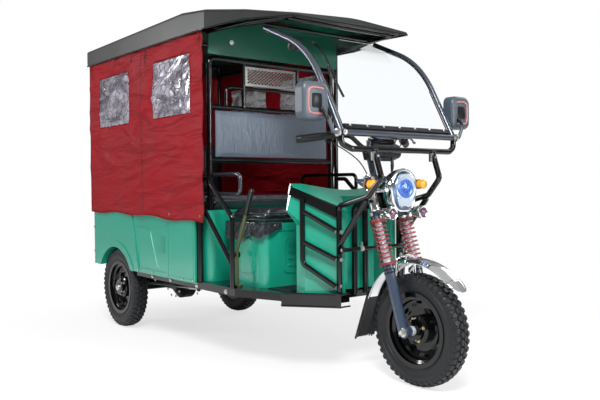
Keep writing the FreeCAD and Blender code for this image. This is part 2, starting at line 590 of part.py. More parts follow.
def make_mudguard():
    """A crowned strip turned round the front axle on two stays, and the rubber flap behind it."""
    over_axle = ("rear_axle_x + wheel_base", "0", "tyre_radius", ((0, 1, 0), "90 - guard_rear_angle"))
    strip = turned("guard_strip", [crowned("guard_half_wide", "guard_radius", "guard_wall")],
                   "guard_rear_angle - guard_front_angle")
    pieces = [place(strip, *over_axle)]
    inner = "guard_half_wide - guard_wall"
    plate = slab("stay_plate", "y", inner, "guard_half_wide", [[
        ("stay_x - stay_half", "stay_low", "stay_half / 2"),
        ("stay_x + stay_half", "stay_low", "stay_half / 2"),
        ("stay_x + stay_half", "stay_top + stay_rise"), ("stay_x - stay_half", "stay_top")]])
    boss = rod("stay_boss", "stay_half * 2 / 3", "leg_side - slider_radius - frame_gap - (%s)" % inner)
    place(boss, "stay_x", inner, "stay_low + stay_half", LEFTWARD)
    for piece in (plate, boss):
        pieces += [piece, mirrored(piece, piece.Name + "_twin")]
    keep(joined("MultiFuse", "mudguard", pieces), "mudguard")
    section = crowned("flap_half_wide", "(guard_radius + frame_gap + flap_wall)", "flap_wall")
    flap = turned("mudguard_flap", [section], "flap_lap")
    extrude(flap, "Pad", "x", "-flap_long", "0", [section])
    keep(place(flap, *over_axle), "mudguard_flap")


MESH_ROWS = 5
MESH_COLUMNS = 14
LOUVRES = 6
RIBS = 4
BAY_FRONT = "(arch_x + well_radius + well_wall + frame_gap)"


WHEEL_INSIDE = "(rear_track / 2 - tyre_width / 2)"
BAY_HALF = "(rear_track / 2 - tyre_width / 2 - wheel_bay_gap)"


def floor_plan(inset="0", notch="floor_notch_x"):
    """The floor's outline: wide behind, tapered and chamfered to a notched nose."""
    points = [("floor_rear_x + (%s)" % inset, BAY_HALF + " - (%s)" % inset),
              (BAY_FRONT + " + (%s)" % inset, BAY_HALF + " - (%s)" % inset),
              (BAY_FRONT + " + (%s)" % inset, "floor_half_wide - (%s)" % inset),
              ("floor_waist_x", "floor_half_wide - (%s)" % inset),
              ("floor_front_x", "floor_front_half - (%s)" % inset),
              ("floor_nose_x - (%s)" % inset, "floor_nose_half"),
              ("floor_nose_x - (%s)" % inset, "floor_notch_half + (%s)" % inset),
              (notch + " - (%s)" % inset, "floor_notch_half - floor_round + (%s)" % inset)]
    return points + [(x, "-(%s)" % y) for x, y in points[::-1]]


def make_chassis():
    """A ladder of square tube under the floor, with the steering head and its struts."""
    top = "chassis_bottom + rail_tall"
    rails = [floor_plan("frame_gap", "floor_notch_x + head_strut_radius")]
    inner = "inner_rail - rail_wide / 2"
    outer = "inner_rail + rail_wide / 2"
    bays = [("floor_rear_x + rail_wide", BAY_FRONT + " - rail_wide / 2"),
            (BAY_FRONT + " + rail_wide * 3 / 2", "middle_rear_x"),
            ("middle_rear_x + rail_wide", "middle_front_x"),
            ("middle_front_x + rail_wide", "floor_waist_x"),
            ("floor_waist_x + rail_wide", "floor_front_x - rail_wide")]
    for i, (start, end) in enumerate(bays):
        span = inner if i else BAY_HALF + " - rail_wide * 3 / 2"
        rails.append(box_loop(start, "-(%s)" % span, end, span))
        if i:
            last = i == len(bays) - 1
            far = "floor_front_half - rail_wide" if last else "floor_half_wide - rail_wide"
            for sign in ("", "-"):
                near_y = "%s(%s)" % (sign, outer)
                far_y = "%s(%s)" % (sign, far)
                rails.append([(start, near_y), (end, near_y), (end, far_y), (start, far_y)])
    ladder = slab("ladder", "z", "chassis_bottom", top, rails)
    head = new_body("steering_head")
    extrude(head, "Pad", "z", "-head_down", "head_up",
            [("circle", "0", "0", "head_radius"), ("circle", "0", "0", "stem_radius + stem_gap")])
    on_fork(head)
    low_x = "head_x + head_down * sin(rake) - head_radius / 2 / cos(rake)"
    low_z = "head_z - head_down * cos(rake) + head_radius"
    bars = []
    for sign in ("", "-"):
        side = sign + "head_strut_side"
        strut_x = "floor_notch_x + head_strut_radius + frame_gap"
        bars.append([(strut_x, side, "chassis_bottom + rail_tall / 2"), (strut_x, side, "strut_top_z"),
                     (low_x + " - head_radius * 2 / 3", sign + "head_radius / 2", low_z)])
    struts = [tube("strut", points, "head_strut_radius", "head_strut_side") for points in bars]
    keep(joined("MultiFuse", "chassis_frame", [ladder, head] + struts), "chassis_frame")


def make_floor():
    low = "chassis_bottom + rail_tall + frame_gap"
    keep(slab("floor_pan", "z", low, low + " + floor_wall", [floor_plan()]), "floor_pan")
    step = [("floor_front_x", "floor_front_half + frame_gap"),
            ("floor_nose_x", "floor_nose_half + frame_gap"),
            ("floor_nose_x + step_wall", "floor_nose_half + frame_gap"),
            ("floor_front_x + step_wall / 2", "floor_front_half + step_wall")]
    bumper = slab("step_half", "z", "chassis_bottom - step_tall / 3",
                  "chassis_bottom + step_tall * 2 / 3", [step])
    keep(both_sides("front_step", bumper), "front_step")


FLOOR_TOP = "(chassis_bottom + rail_tall + frame_gap + floor_wall)"
CABIN_SIDE = "(side_y - side_wall - cabin_tube - frame_gap)"


def make_front_frame():
    """Posts in front of the leg shield, and the arms that carry the windshield."""
    bars = []
    post = [("post_x", "post_side", FLOOR_TOP + " + frame_gap"), ("post_x", "post_side", "arm_back_z"),
            ("arm_low_x", "post_side", "arm_low_z"), ("arm_front_x", "arm_top_side", "arm_front_z"),
            ("arm_top_x", "arm_top_side", "hoop_z")]
    brace = [("post_x", "post_side", "brace_foot_z"), ("brace_x", "post_side", "brace_z")]
    half_hoop = [("arm_top_x - hoop_back", "hoop_side", "hoop_z"),
                 ("screen_x1", "screen_side", "hoop_z + hoop_rise"),
                 ("screen_x1", "screen_side", "screen_z1 - screen_tube - frame_gap")]
    hoop = flipped(half_hoop[::-1]) + half_hoop
    for points in (post, brace):
        bars.append(points)
        bars.append(flipped(points))
    pieces = [tube("post_bar", p, "post_radius", "post_radius * 2") for p in bars]
    pieces.append(tube("hoop_bar", hoop, "post_radius", "post_radius * 2"))
    keep(joined("MultiFuse", "front_frame", pieces), "front_frame")


def make_leg_guards():
    """A ladder of black tube each side, from the leg shield's edge to the post."""
    y_in = "post_side + post_radius + rung_radius * 3 / 4 + frame_gap"
    outer = [("ladder_x", "ladder_side", "ladder_top"), ("ladder_x", "ladder_side", "ladder_low"),
             ("post_x", y_in, "ladder_foot")]
    rung_one = [("ladder_x", "ladder_side", "rung_one_out"), ("post_x", y_in, "rung_one_in")]
    rung_two = [("ladder_x", "ladder_side", "rung_two_out"), ("post_x", y_in, "rung_two_in")]
    half = welded("ladder_half", [outer, rung_one, rung_two], "rung_radius", "rung_radius * 3")
    keep(both_sides("leg_guards", half), "leg_guards")


def shield_envelope(name, inset, down, low, top):
    """The leg shield's outline from the front, from above and from the side, in one solid.

    low and top are heights at its front and rear edges, as (front, rear).
    """
    crest = "shield_top_z - (%s)" % down
    foot = "shield_foot_half - (%s)" % inset
    half = [(foot, FLOOR_TOP), (foot, "shield_knee_z"),
            ("shield_hip_half - (%s)" % inset, "shield_hip_z"), ("shield_top_half - (%s)" % inset, crest)]
    saddle = ("0", crest + " - shield_dip", "shield_top_half * 3")
    front = slab(name + "_front", "x", "shield_rear_x - (%s)" % inset, "shield_front_x + overrun",
                 [half + [saddle] + flipped_pair(half)])
    edge = [("shield_rear_x - overrun", "shield_hip_half + shield_wall - (%s)" % inset),
            ("shield_rear_x", "shield_hip_half + shield_wall - (%s)" % inset),
            ("shield_front_x - (%s)" % inset, "shield_half - (%s) / 2" % inset),
            ("shield_front_x - (%s)" % inset, "shield_notch_half + (%s) / 2" % inset),
            ("shield_notch_x - (%s)" % inset, "shield_notch_half + (%s) / 2 - floor_round" % inset)]
    plan = slab(name + "_plan", "z", FLOOR_TOP, "shield_top_z + overrun",
                [edge + [(x, "-(%s)" % y) for x, y in edge[::-1]]])
    lean = slab(name + "_lean", "y", "-shield_hip_half - overrun", "shield_hip_half + overrun", [[
        ("shield_rear_x - overrun", low[1]), ("shield_front_x + overrun", low[0]),
        ("shield_front_x + overrun", top[0]), ("shield_rear_x - overrun", top[1])]])
    common = doc.addObject("Part::MultiCommon", name)
    common.Shapes = [front, plan, lean]
    return common


def flipped_pair(points):
    """Flat points on the other side of a sketch's upright axis, in the order that closes the loop."""
    return [("-(%s)" % y, z) for y, z in points[::-1]]


def hollowed(name, solid, core):
    shell = doc.addObject("Part::Cut", name)
    shell.Base = solid
    shell.Tool = core
    return shell


def make_leg_shield():
    """The dashboard and leg shield, a hollow pressed housing open to the rear, with black side bands."""
    low = FLOOR_TOP + " + shield_low"
    solid = shield_envelope("outside", "0", "0", (low, low), ("shield_nose_z", "shield_top_z"))
    core = shield_envelope("inside", "shield_wall", "shield_wall", (low + " - shield_wall",) * 2,
                           ("shield_nose_z - shield_wall", "shield_top_z - shield_wall"))
    keep(hollowed("leg_shield", solid, core), "leg_shield")
    under = ("shield_nose_z - band_front", "shield_top_z - band_rear")
    rim = shield_envelope("rim", "-band_wall", "0", under, ("shield_nose_z", "shield_top_z"))
    core = shield_envelope("rim_core", "-frame_gap * 2", "0", ("shield_nose_z - band_front - overrun",) * 2,
                           ("shield_nose_z + overrun", "shield_top_z + overrun"))
    neck = "(shield_notch_half + shield_half) / 2"
    far = "shield_hip_half * 2"
    end = "post_x - post_radius - frame_gap"
    front = slab("rim_front", "z", FLOOR_TOP, "shield_top_z + overrun * 2", [[
        ("shield_notch_x - overrun", "-(%s)" % neck), (end, "-(%s)" % neck), (end, "-(%s)" % far),
        ("shield_front_x + overrun * 2", "-(%s)" % far), ("shield_front_x + overrun * 2", far),
        (end, far), (end, neck),
        ("shield_notch_x - overrun", neck)]])
    keep(hollowed("dash_trim", hollowed("rim_ring", rim, core), front), "dash_trim")


def make_windshield():
    """A bent tube frame with curved safety glass in it."""
    side = [("screen_x3", "screen_side", "screen_z3"), ("screen_x2", "screen_side", "screen_z2"),
            ("screen_x1", "screen_side", "screen_z1")]
    bars = [tube("screen_side", side, "screen_tube", "screen_bend"),
            tube("screen_side_twin", flipped(side), "screen_tube", "screen_bend"),
            tube("screen_bottom", [("screen_x1", "-screen_side", "screen_z1"),
                                   ("screen_x1", "screen_side", "screen_z1")], "screen_tube")]
    keep(joined("MultiFuse", "windshield_frame", bars), "windshield_frame")
    path = route(side, val("screen_bend"))
    half = val("screen_side - screen_tube - glass_gap")
    trimmed = route_between(path, val("screen_tube + glass_gap"))
    first = trimmed.Edges[0]
    normal = V(0, 1, 0).cross(first.tangentAt(first.FirstParameter)).normalize()
    base = first.valueAt(first.FirstParameter)
    base = V(base.x, 0, base.z)
    trimmed.translate(V(0, -val("screen_side"), 0))
    wall = val("glass_wall")
    corners = [base + V(0, y, 0) + normal * n for y, n in
               ((-half, -wall / 2), (half, -wall / 2), (half, wall / 2), (-half, wall / 2))]
    glass = doc.addObject("Part::Feature", "windshield_glass")
    section = Part.makePolygon(corners + corners[:1])
    glass.Shape = trimmed.makePipeShell([section], True, False)
    glass.Placement = FreeCAD.Placement()
    keep(glass, "windshield_glass")


def route_between(path, clear):
    """The same path, cut short at its last end by a clearance."""
    edges = list(path.Edges)
    last = edges[-1]
    end = last.valueAt(last.LastParameter)
    start = last.valueAt(last.FirstParameter)
    edges[-1] = Part.LineSegment(start, end - (end - start).normalize() * clear).toShape()
    return Part.Wire(edges)


def make_mirrors():
    """A rounded mirror head each side on an arm from the windshield's lower corner."""
    head = slab("mirror_head", "x", "mirror_x", "mirror_x + mirror_deep", [
        box_loop("mirror_side - mirror_wide / 2", "mirror_z - mirror_tall / 2",
                 "mirror_side + mirror_wide / 2", "mirror_z + mirror_tall / 2", "mirror_round")])
    arm = tube("mirror_arm_bar", [
        ("screen_x1", "screen_side + screen_tube + frame_gap", "screen_z1"),
        ("screen_x1", "screen_side + screen_tube * 3", "screen_z1"),
        ("screen_x1", "screen_side + screen_tube * 5", "mirror_elbow_z - mirror_arm * 3"),
        ("mirror_x + mirror_deep / 2", "mirror_side - mirror_wide / 4", "mirror_z - mirror_tall / 3")],
        "mirror_arm", "mirror_arm * 2")
    one = joined("MultiFuse", "mirror_left", [head, arm])
    keep(one, "mirror_left")
    keep(mirrored(one, "mirror_right"), "mirror_right")


def pressed_side():
    """The left side panel: a lip round the arch, a slanted rib, a recessed bay with its pressings."""
    panel = slab("side_sheet", "y", "side_y - side_wall", "side_y",
                 [box_loop("side_rear_x", "side_low", "side_front_x", "side_top")])
    bay = [("rib_top_x2", "side_top + overrun"), ("rib_low_x2", "bay_low"), ("bay_front_x", "bay_low"),
           ("bay_front_x", "side_top + overrun")]
    extrude(panel, "Pocket", "y", "side_y - bay_deep", "side_y + overrun", [bay])
    floor = "side_y - bay_deep"
    extrude(panel, "Pocket", "y", floor + " - seam_deep", "side_y + overrun", [
        box_loop("rib_top_x2 + seam_wide", "lid_z", "bay_front_x - seam_wide", "lid_z + seam_wide")])
    top = "lid_z - seam_wide * 2"
    low = "bay_low + seam_wide * 3"
    fan = [("fan_x1", top, "fan_round"), ("fan_x2", top, "fan_round"), ("fan_x4", low, "seam_wide"),
           ("fan_x3", low, "seam_wide")]
    extrude(panel, "Pad", "y", floor, floor + " + fan_proud", [fan])
    slats = []
    for i in range(LOUVRES):
        z = "louvre_z + louvre_step * %d" % i
        slats.append(box_loop("louvre_x", z, "louvre_x + louvre_long", z + " + louvre_tall"))
    extrude(panel, "Pad", "y", floor, floor + " + fan_proud", slats)
    door = []
    for inset in ("door_inset", "door_inset + seam_wide"):
        door.append(box_loop("bay_front_x + " + inset, "side_low + " + inset, "side_front_x - (%s)" % inset,
                             "side_top - (%s)" % inset, "seam_wide * 2"))
    extrude(panel, "Pocket", "y", "side_y - seam_deep", "side_y + overrun", door)
    rib = [("rib_top_x1", "side_top"), ("rib_low_x1", "side_low"), ("rib_low_x2", "side_low"),
           ("rib_top_x2", "side_top")]
    extrude(panel, "Pad", "y", "side_y", "side_y + rib_proud", [rib])
    lip = slab("arch_lip", "y", "side_y - side_wall", "side_y + lip_proud",
               [("circle", "arch_x", "tyre_radius", "arch_radius + lip_wide")],
               [("y", "side_y - side_wall - overrun", "side_y + overrun", [
                   box_loop("arch_x - arch_radius * 2", "-arch_radius", "arch_x + arch_radius * 2",
                       "side_low")])])
    whole = joined("MultiFuse", "side_and_lip", [panel, lip])
    opening = rod("arch_opening", "arch_radius", "side_wall + overrun * 2")
    place(opening, "arch_x", "side_y - side_wall - overrun", "tyre_radius", LEFTWARD)
    return hollowed("side_panel_left", whole, opening)


def make_body_sides():
    """The pressed side panels with their wheel arches, the tail panel and the wheel wells."""
    panel = pressed_side()
    keep(panel, "side_panel_left")
    keep(mirrored(panel, "side_panel_right"), "side_panel_right")
    inner = "side_y - side_wall - frame_gap"
    holes = [("circle", sign + "plate_hole_gap / 2", "plate_z", "plate_hole_radius") for sign in ("", "-")]
    tail = slab("tail_panel", "x", "side_rear_x", "side_rear_x + tail_wall",
                [box_loop("-(%s)" % inner, "side_low", inner, "side_top")] + holes)
    keep(tail, "tail_panel")
    inside = WHEEL_INSIDE + " - well_tyre_gap"
    well = slab("well", "y", inside, inner, [box_loop(
        "arch_x - well_radius - well_wall", "side_low + frame_gap",
        "arch_x + well_radius + well_wall", "tyre_radius + well_radius + well_wall", "well_wall")],
        [("y", inside + " + well_wall", "side_y", [("circle", "arch_x", "tyre_radius", "well_radius")])])
    keep(both_sides("wheel_wells", well), "wheel_wells")


def seat_box(name, x1, x2, half, low, top):
    """A hollow pressed box, open below, with rounded upright corners."""
    wall = "box_wall"
    outer = box_loop(x1, "-(%s)" % half, x2, half, "box_round")
    inner = box_loop("%s + %s" % (x1, wall), "-(%s - %s)" % (half, wall), "%s - %s" % (x2, wall),
                     "%s - %s" % (half, wall), "box_round - box_wall")
    body = slab(name, "z", low, top, [outer], [("z", low + " - overrun", top + " - box_wall", [inner])])
    return keep(body, name)


def press_driver_box(box):
    """Pressings on the driver's seat box: ribs on a step in front, a fan and louvres on each side."""
    face = "driver_front_x"
    reach = "(seat_half - press_inset)"
    panel = box_loop("-" + reach, "press_low", reach, "press_top", "press_round")
    extrude(box, "Pad", "x", face, face + " + press_proud", [panel])
    ribs = []
    for i in range(RIBS):
        z = "press_low + rib_first + rib_step * %d" % i
        ribs.append(box_loop("-%s + press_round" % reach, z, reach + " - press_round", z + " + rib_tall",
                             "rib_tall / 3"))
    extrude(box, "Pad", "x", face + " + press_proud", face + " + press_proud * 2", ribs)
    lid = [box_loop("-seat_half + box_round", "lid_line_z", "seat_half - box_round",
                    "lid_line_z + rib_tall / 2")]
    extrude(box, "Pad", "x", face, face + " + press_proud", lid)
    for low, high in (("seat_half", "seat_half + press_proud"), ("-seat_half - press_proud", "-seat_half")):
        fan = [("side_fan_x1", "press_low", "press_round"), ("side_fan_x3", "press_low", "press_round"),
               ("side_fan_x2", "press_top", "press_round"), ("side_fan_x1", "press_top", "press_round")]
        slats = []
        for i in range(LOUVRES):
            z = "press_low + louvre_step * %d" % i
            slats.append(box_loop("driver_rear_x + box_round", z, "driver_rear_x + box_round + louvre_long",
                                  z + " + louvre_tall"))
        extrude(box, "Pad", "y", low, high, [fan] + slats)


def cushion(name, axis, low, high, loop):
    return keep(slab(name, axis, low, high, [loop]), name)


def make_seats():
    low = FLOOR_TOP + " + frame_gap"
    box = seat_box("seat_box_driver", "driver_rear_x", "driver_front_x", "seat_half", low, "driver_top")
    press_driver_box(box)
    cushion("cushion_driver", "z", "driver_top + cushion_gap", "driver_top + driver_cushion",
            box_loop("driver_rear_x - cushion_lip", "-seat_half - cushion_lip",
                     "driver_front_x + cushion_lip", "seat_half + cushion_lip", "cushion_round"))
    seat_box("seat_box_middle", "middle_rear_x", "middle_front_x", "middle_half", low, "middle_top")
    cushion("cushion_middle", "z", "middle_top + cushion_gap", "middle_top + middle_cushion",
            box_loop("middle_rear_x - cushion_lip", "-part_side + part_tube + cushion_lip",
                     "part_x - part_tube - cushion_lip", "part_side - part_tube - cushion_lip",
                     "cushion_round"))
    battery = slab("battery_pack", "z", low, low + " + battery_tall", [box_loop(
        "(middle_rear_x + middle_front_x - battery_long) / 2", "-battery_half",
        "(middle_rear_x + middle_front_x + battery_long) / 2", "battery_half")])
    keep(battery, "battery_pack")
    well_top = "tyre_radius + well_radius + well_wall + frame_gap"
    seat_box("seat_box_rear", "rear_rear_x", "rear_front_x", "rear_half", well_top, "rear_top")
    half = CABIN_SIDE + " - cabin_tube - frame_gap"
    cushion("cushion_rear", "z", "rear_top + cushion_gap", "rear_top + rear_cushion",
            box_loop("rear_rear_x", "-(%s)" % half, "rear_front_x + cushion_lip", half, "cushion_round"))
    cushion("backrest_rear", "x", "rear_rear_x", "rear_rear_x + back_wall",
            box_loop("-(%s)" % half, "rear_top + rear_cushion + cushion_gap", half, "back_top", "back_round"))


def make_partition():
    """The tube screen behind the driver, its vinyl panel and its wire mesh."""
    half = [("part_x", "part_side", "part_high_z"), ("part_x", "part_side", "middle_top + cushion_gap")]
    pieces = [tube("part_outline", flipped(half[::-1]) + half, "part_tube", "part_tube * 2")]
    rail = [("part_x", "-rail_side_right", "part_mid_z"), ("part_x", "-rail_side_right", "rail_top_z"),
            ("part_x", "rail_side_left", "rail_top_z"), ("part_x", "rail_side_left", "part_mid_z")]
    pieces.append(tube("part_loop", rail, "part_loop", "part_tube * 2"))
    for z in ("part_low_z", "part_mid_z"):
        rung = [("part_x", "-part_side", z), ("part_x", "part_side", z)]
        pieces.append(tube("part_rung", rung, "part_rung"))
    for side in ("-bar_side_right", "bar_side_left"):
        bar = [("part_x", side, "part_mid_z"), ("part_x", side, "part_high_z")]
        pieces.append(tube("part_bar", bar, "part_bar"))
    keep(joined("MultiFuse", "partition_frame", pieces), "partition_frame")
    keep(slab("partition_panel", "x", "part_x - panel_wall / 2", "part_x + panel_wall / 2",
              [box_loop("-panel_half", "part_low_z + part_rung + frame_gap", "panel_half",
                        "part_mid_z - part_rung - frame_gap", "mesh_frame")]), "partition_panel")
    make_mesh()


def make_mesh():
    """Pressed metal mesh: a strip with rows of diamond openings, every other row shifted by half a step."""
    first = "-bar_side_right + part_bar + frame_gap"
    last = "bar_side_left - part_bar - frame_gap"
    half = "mesh_wall / 2"
    mesh = slab("partition_mesh", "x", "part_x - " + half, "part_x + " + half,
                [box_loop(first, "mesh_low", last, "mesh_top")])
    width = "((%s) - (%s) - mesh_frame * 2)" % (last, first)
    height = "(mesh_top - mesh_low - mesh_frame * 2)"
    for shift, rows, columns in ((0, MESH_ROWS, MESH_COLUMNS), (0.5, MESH_ROWS - 1, MESH_COLUMNS - 1)):
        y = "%s + mesh_frame + %s * %s / %d" % (first, width, shift + 0.5, MESH_COLUMNS)
        z = "mesh_low + mesh_frame + %s * %s / %d" % (height, shift + 0.5, MESH_ROWS)
        wide = "(%s / %d - mesh_web) / 2" % (width, MESH_COLUMNS)
        tall = "(%s / %d - mesh_web) / 2" % (height, MESH_ROWS)
        hole = extrude(mesh, "Pocket", "x", "part_x - mesh_wall", "part_x + mesh_wall", [[
            (y + " - " + wide, z), (y, z + " - " + tall), (y + " + " + wide, z), (y, z + " + " + tall)]])
        grid = mesh.newObject("PartDesign::MultiTransform", "hole_grid")
        grid.Originals = [hole]
        steps = []
        for axis, count, step in (("H_Axis", columns, width + " / %d" % MESH_COLUMNS),
                                  ("V_Axis", rows, height + " / %d" % MESH_ROWS)):
            row = mesh.newObject("PartDesign::LinearPattern", "hole_row")
            row.Direction = (hole.Profile[0], [axis])
            row.Occurrences = count
            bind(row, "Length", "%s * %d" % (step, count - 1))
            steps.append(row)
        grid.Transformations = steps
        mesh.Tip = grid
    keep(mesh, "partition_mesh")


def ceiling(x, y, behind, ahead):
    """The height of the roof's inside between two of its stations, and the cosine of its slope there."""
    ends = {"rear": "(roof_rear_x + roof_wall)", "nose": "(roof_nose_x - roof_wall)"}
    start = ends.get(behind, "roof_%s_x" % behind)
    share = "(%s - %s) / (%s - %s)" % (x, start, ends.get(ahead, "roof_%s_x" % ahead), start)
    top, half = ["(roof_%s_%s + (roof_%s_%s - roof_%s_%s) * %s)" % (
        behind, size, ahead, size, behind, size, share) for size in ("top", "half")]
    slope = "(roof_%s_top - roof_%s_top) / (roof_%s_x - roof_%s_x)" % (ahead, behind, ahead, behind)
    return "(%s - roof_wall - roof_drop * (%s) / (%s - roof_wall))" % (top, y, half), "cos(atan(%s))" % slope


def under_roof(x, y, behind, ahead):
    """The height at which a bow just touches the ceiling panel."""
    height, lean = ceiling(x, y, behind, ahead)
    return "(%s - liner_gap - liner_wall / %s - cabin_tube / %s - frame_gap)" % (height, lean, lean)


def make_cabin_frame():
    """Corner posts, and the rails and bows that carry the roof."""
    low = FLOOR_TOP + " + frame_gap"
    nose_z = under_roof("roof_front_x", "roof_front_side", "bend", "nose")
    bars = [[("roof_front_x", "-roof_front_side", nose_z), ("roof_front_x", "roof_front_side", nose_z)]]
    for sign in ("", "-"):
        y = sign + CABIN_SIDE
        bars.append([("cabin_front_x", y, low), ("cabin_front_x", y, "roof_rail_z")])
        bars.append([("cabin_rear_x", y, "side_low"), ("cabin_rear_x", y, "roof_rail_z")])
        bars.append([("cabin_rear_x", y, "roof_rail_z"), ("cabin_front_x", y, "roof_rail_z"),
                     ("roof_front_x", sign + "roof_front_side", nose_z)])
    for x, behind, ahead in (("cabin_rear_x", "rear", "crest"), ("bow_mid_x", "rear", "crest"),
                             ("cabin_front_x", "crest", "wide")):
        top = under_roof(x, CABIN_SIDE + " - bow_bend", behind, ahead)
        half = [(x, CABIN_SIDE, top), (x, CABIN_SIDE, "roof_rail_z")]
        bars.append(flipped(half[::-1]) + half)
    keep(welded("cabin_frame", bars, "cabin_tube", "bow_bend"), "cabin_frame")


def make_guards():
    """Bent tube guards beside the driver, the armrest loops and the hand brake lever."""
    outer = [("cabin_front_x + cabin_tube + frame_gap", "guard_y", "guard_top_z"),
             ("guard_top_x", "guard_y", "guard_top_z"), ("guard_knee_x", "guard_y", "guard_knee_z"),
             ("guard_knee_x", "guard_y", FLOOR_TOP + " + frame_gap")]
    brace = [("cabin_front_x + cabin_tube + guard_tube * 3 / 4 + frame_gap", "guard_y", "guard_brace_z"),
             ("guard_brace_x", "guard_y", "guard_brace_low")]
    half = welded("side_guard_left", [outer, brace], "guard_tube", "guard_tube * 3")
    keep(half, "side_guard_left")
    keep(mirrored(half, "side_guard_right"), "side_guard_right")
    side = "part_side - part_tube - arm_tube - frame_gap"
    loop = [("arm_rear_x", side, "arm_low"), ("arm_rear_x", side, "arm_high"),
            ("arm_front", side, "arm_high"), ("arm_front", side, "arm_low"),
            ("arm_rear_x + arm_bend", side, "arm_low")]
    one = tube("armrest_left", loop, "arm_tube", "arm_bend")
    keep(one, "armrest_left")
    keep(mirrored(one, "armrest_right"), "armrest_right")
    low = FLOOR_TOP + " + frame_gap"
    middle = "-(seat_half + cushion_lip + guard_y - guard_tube) / 2"
    foot = slab("lever_foot", "z", low, low + " + lever_radius", [box_loop(
        "lever_x1 - lever_foot", "%s - lever_foot_wide / 2" % middle, "lever_x1 + lever_foot",
        "%s + lever_foot_wide / 2" % middle, "lever_radius")])
    pivot = ("lever_x1", middle, "lever_z1")
    end = ("lever_x2", middle, "lever_z2")
    grip = [tuple("(%s) + ((%s) - (%s)) * lever_grip_share" % (a, b, a) for a, b in zip(end, pivot)), end]
    bars = [tube("lever_bar", [("lever_x1", middle, low), pivot, end], "lever_radius", "lever_radius * 3"),
            tube("lever_grip", grip, "lever_grip")]
    keep(joined("MultiFuse", "brake_lever", [foot] + bars), "brake_lever")


STATIONS = ("rear", "crest", "wide", "bend", "nose")
END_INSET = {"rear": " + roof_wall + liner_gap", "nose": " - roof_wall - liner_gap"}


def roof_section(body, station, inset, drop):
    """One cross-section of the roof: upright skirts, a rounded edge and a low crown."""
    half = "roof_%s_half - (%s)" % (station, inset)
    low = "roof_%s_low - (%s)" % (station, drop)
    top = "roof_%s_top - (%s)" % (station, inset)
    points = [("-(%s)" % half, low), (half, low),
              (half, "%s - roof_drop" % top, "roof_edge"), ("0", top, "roof_rear_half * 2"),
              ("-(%s)" % half, "%s - roof_drop" % top, "roof_edge")]
    x = "roof_%s_x" % station
    if station == "rear":
        x += " + (%s)" % inset
    if station == "nose":
        x += " - (%s)" % inset
    return draw(body, "YZ_Plane", [points], x)


def hood(name, outer, inner, drop):
    """A shell lofted through the roof's five stations between two insets."""
    body = new_body(name)
    for kind, inset, extra in (("AdditiveLoft", outer, "0"), ("SubtractiveLoft", inner, "overrun")):
        sections = [roof_section(body, s, inset, "%s + %s" % (drop, extra)) for s in
                    STATIONS]
        loft = body.newObject("PartDesign::" + kind, name + "_" + kind)
        loft.Profile = sections[0]
        loft.Sections = sections[1:]
        loft.Ruled = True
    return keep(body, name)


def liner_section(body, station):
    """One cross-section of the ceiling panel, which follows the roof's inside."""
    down = "(roof_wall + liner_gap)"
    half = "(roof_%s_half - roof_wall - liner_inset)" % station
    crown = "roof_%s_top - %s" % (station, down)
    side = crown + " - roof_drop * %s / (roof_%s_half - roof_wall)" % (half, station)
    upper = [("-" + half, side), ("0", crown, "roof_rear_half * 2"), (half, side)]
    lower = [(point[0], point[1] + " - liner_wall") + point[2:] for point in upper[::-1]]
    x = "roof_%s_x" % station + END_INSET.get(station, "")
    return draw(body, "YZ_Plane", [upper + lower], x)


def make_roof():
    hood("roof_panel", "0", "roof_wall", "0")
    panel = new_body("ceiling_panel")
    sections = [liner_section(panel, s) for s in STATIONS]
    loft = panel.newObject("PartDesign::AdditiveLoft", "ceiling_loft")
    loft.Profile = sections[0]
    loft.Sections = sections[1:]
    loft.Ruled = True
    header_top = ceiling("header_x", "header_half", "crest", "wide")[0] + " - liner_gap - liner_wall / 2"
    header = slab("header", "x", "header_x", "header_x + header_wall", [box_loop(
        "-header_half", "header_low", "header_half", header_top)])
    keep(joined("MultiFuse", "roof_liner", [panel, header]), "roof_liner")


def make_curtains():
    """Cloth side curtains and a rear one with clear film windows. The left one is pulled back a little."""
    outer = "roof_rear_half - roof_wall - curtain_gap"
    inner = outer + " - curtain_wall"
    gap = "curtain_gap"
    films = []
    for side, low, high, pull in (("left", inner, outer, "curtain_pull"),
                                  ("right", "-(%s)" % outer, "-(%s)" % inner, "0")):
        ends = [("window_rear_x1", "window_rear_x2"),
                ("window_front_x1 - " + pull, "window_front_x2 - " + pull)]
        windows = [box_loop(x1, "window_low", x2, "window_top", "window_round") for x1, x2 in ends]
        outline = box_loop("curtain_rear_x", "curtain_low", "curtain_front_x - " + pull, "curtain_top")
        keep(slab("curtain_" + side, "y", low, high, [outline] + windows), "curtain_" + side)
        middle = "((%s) + (%s)) / 2" % (low, high)
        for x1, x2 in ends:
            pane = box_loop(x1 + " + " + gap, "window_low + " + gap, x2 + " - " + gap,
                            "window_top - " + gap, "window_round")
            films.append(slab("film_%s_%d" % (side, len(films)), "y", middle + " - film_wall / 2",
                              middle + " + film_wall / 2", [pane]))
    rear_x = "roof_rear_x + roof_wall + curtain_gap"
    half = inner + " - curtain_gap"
    rear_window = box_loop("-rear_window_half", "window_low", "rear_window_half", "window_top",
                           "window_round")
    rear = slab("curtain_rear", "x", rear_x, rear_x + " + curtain_wall",
                [box_loop("-(%s)" % half, "curtain_low", half, "curtain_top"), rear_window])
    keep(rear, "curtain_rear")
    films.append(slab("film_rear", "x", rear_x + " + film_wall", rear_x + " + film_wall * 2", [
        box_loop("-rear_window_half + " + gap, "window_low + " + gap, "rear_window_half - " + gap,
                 "window_top - " + gap, "window_round")]))
    keep(joined("Compound", "curtain_windows", films), "curtain_windows")


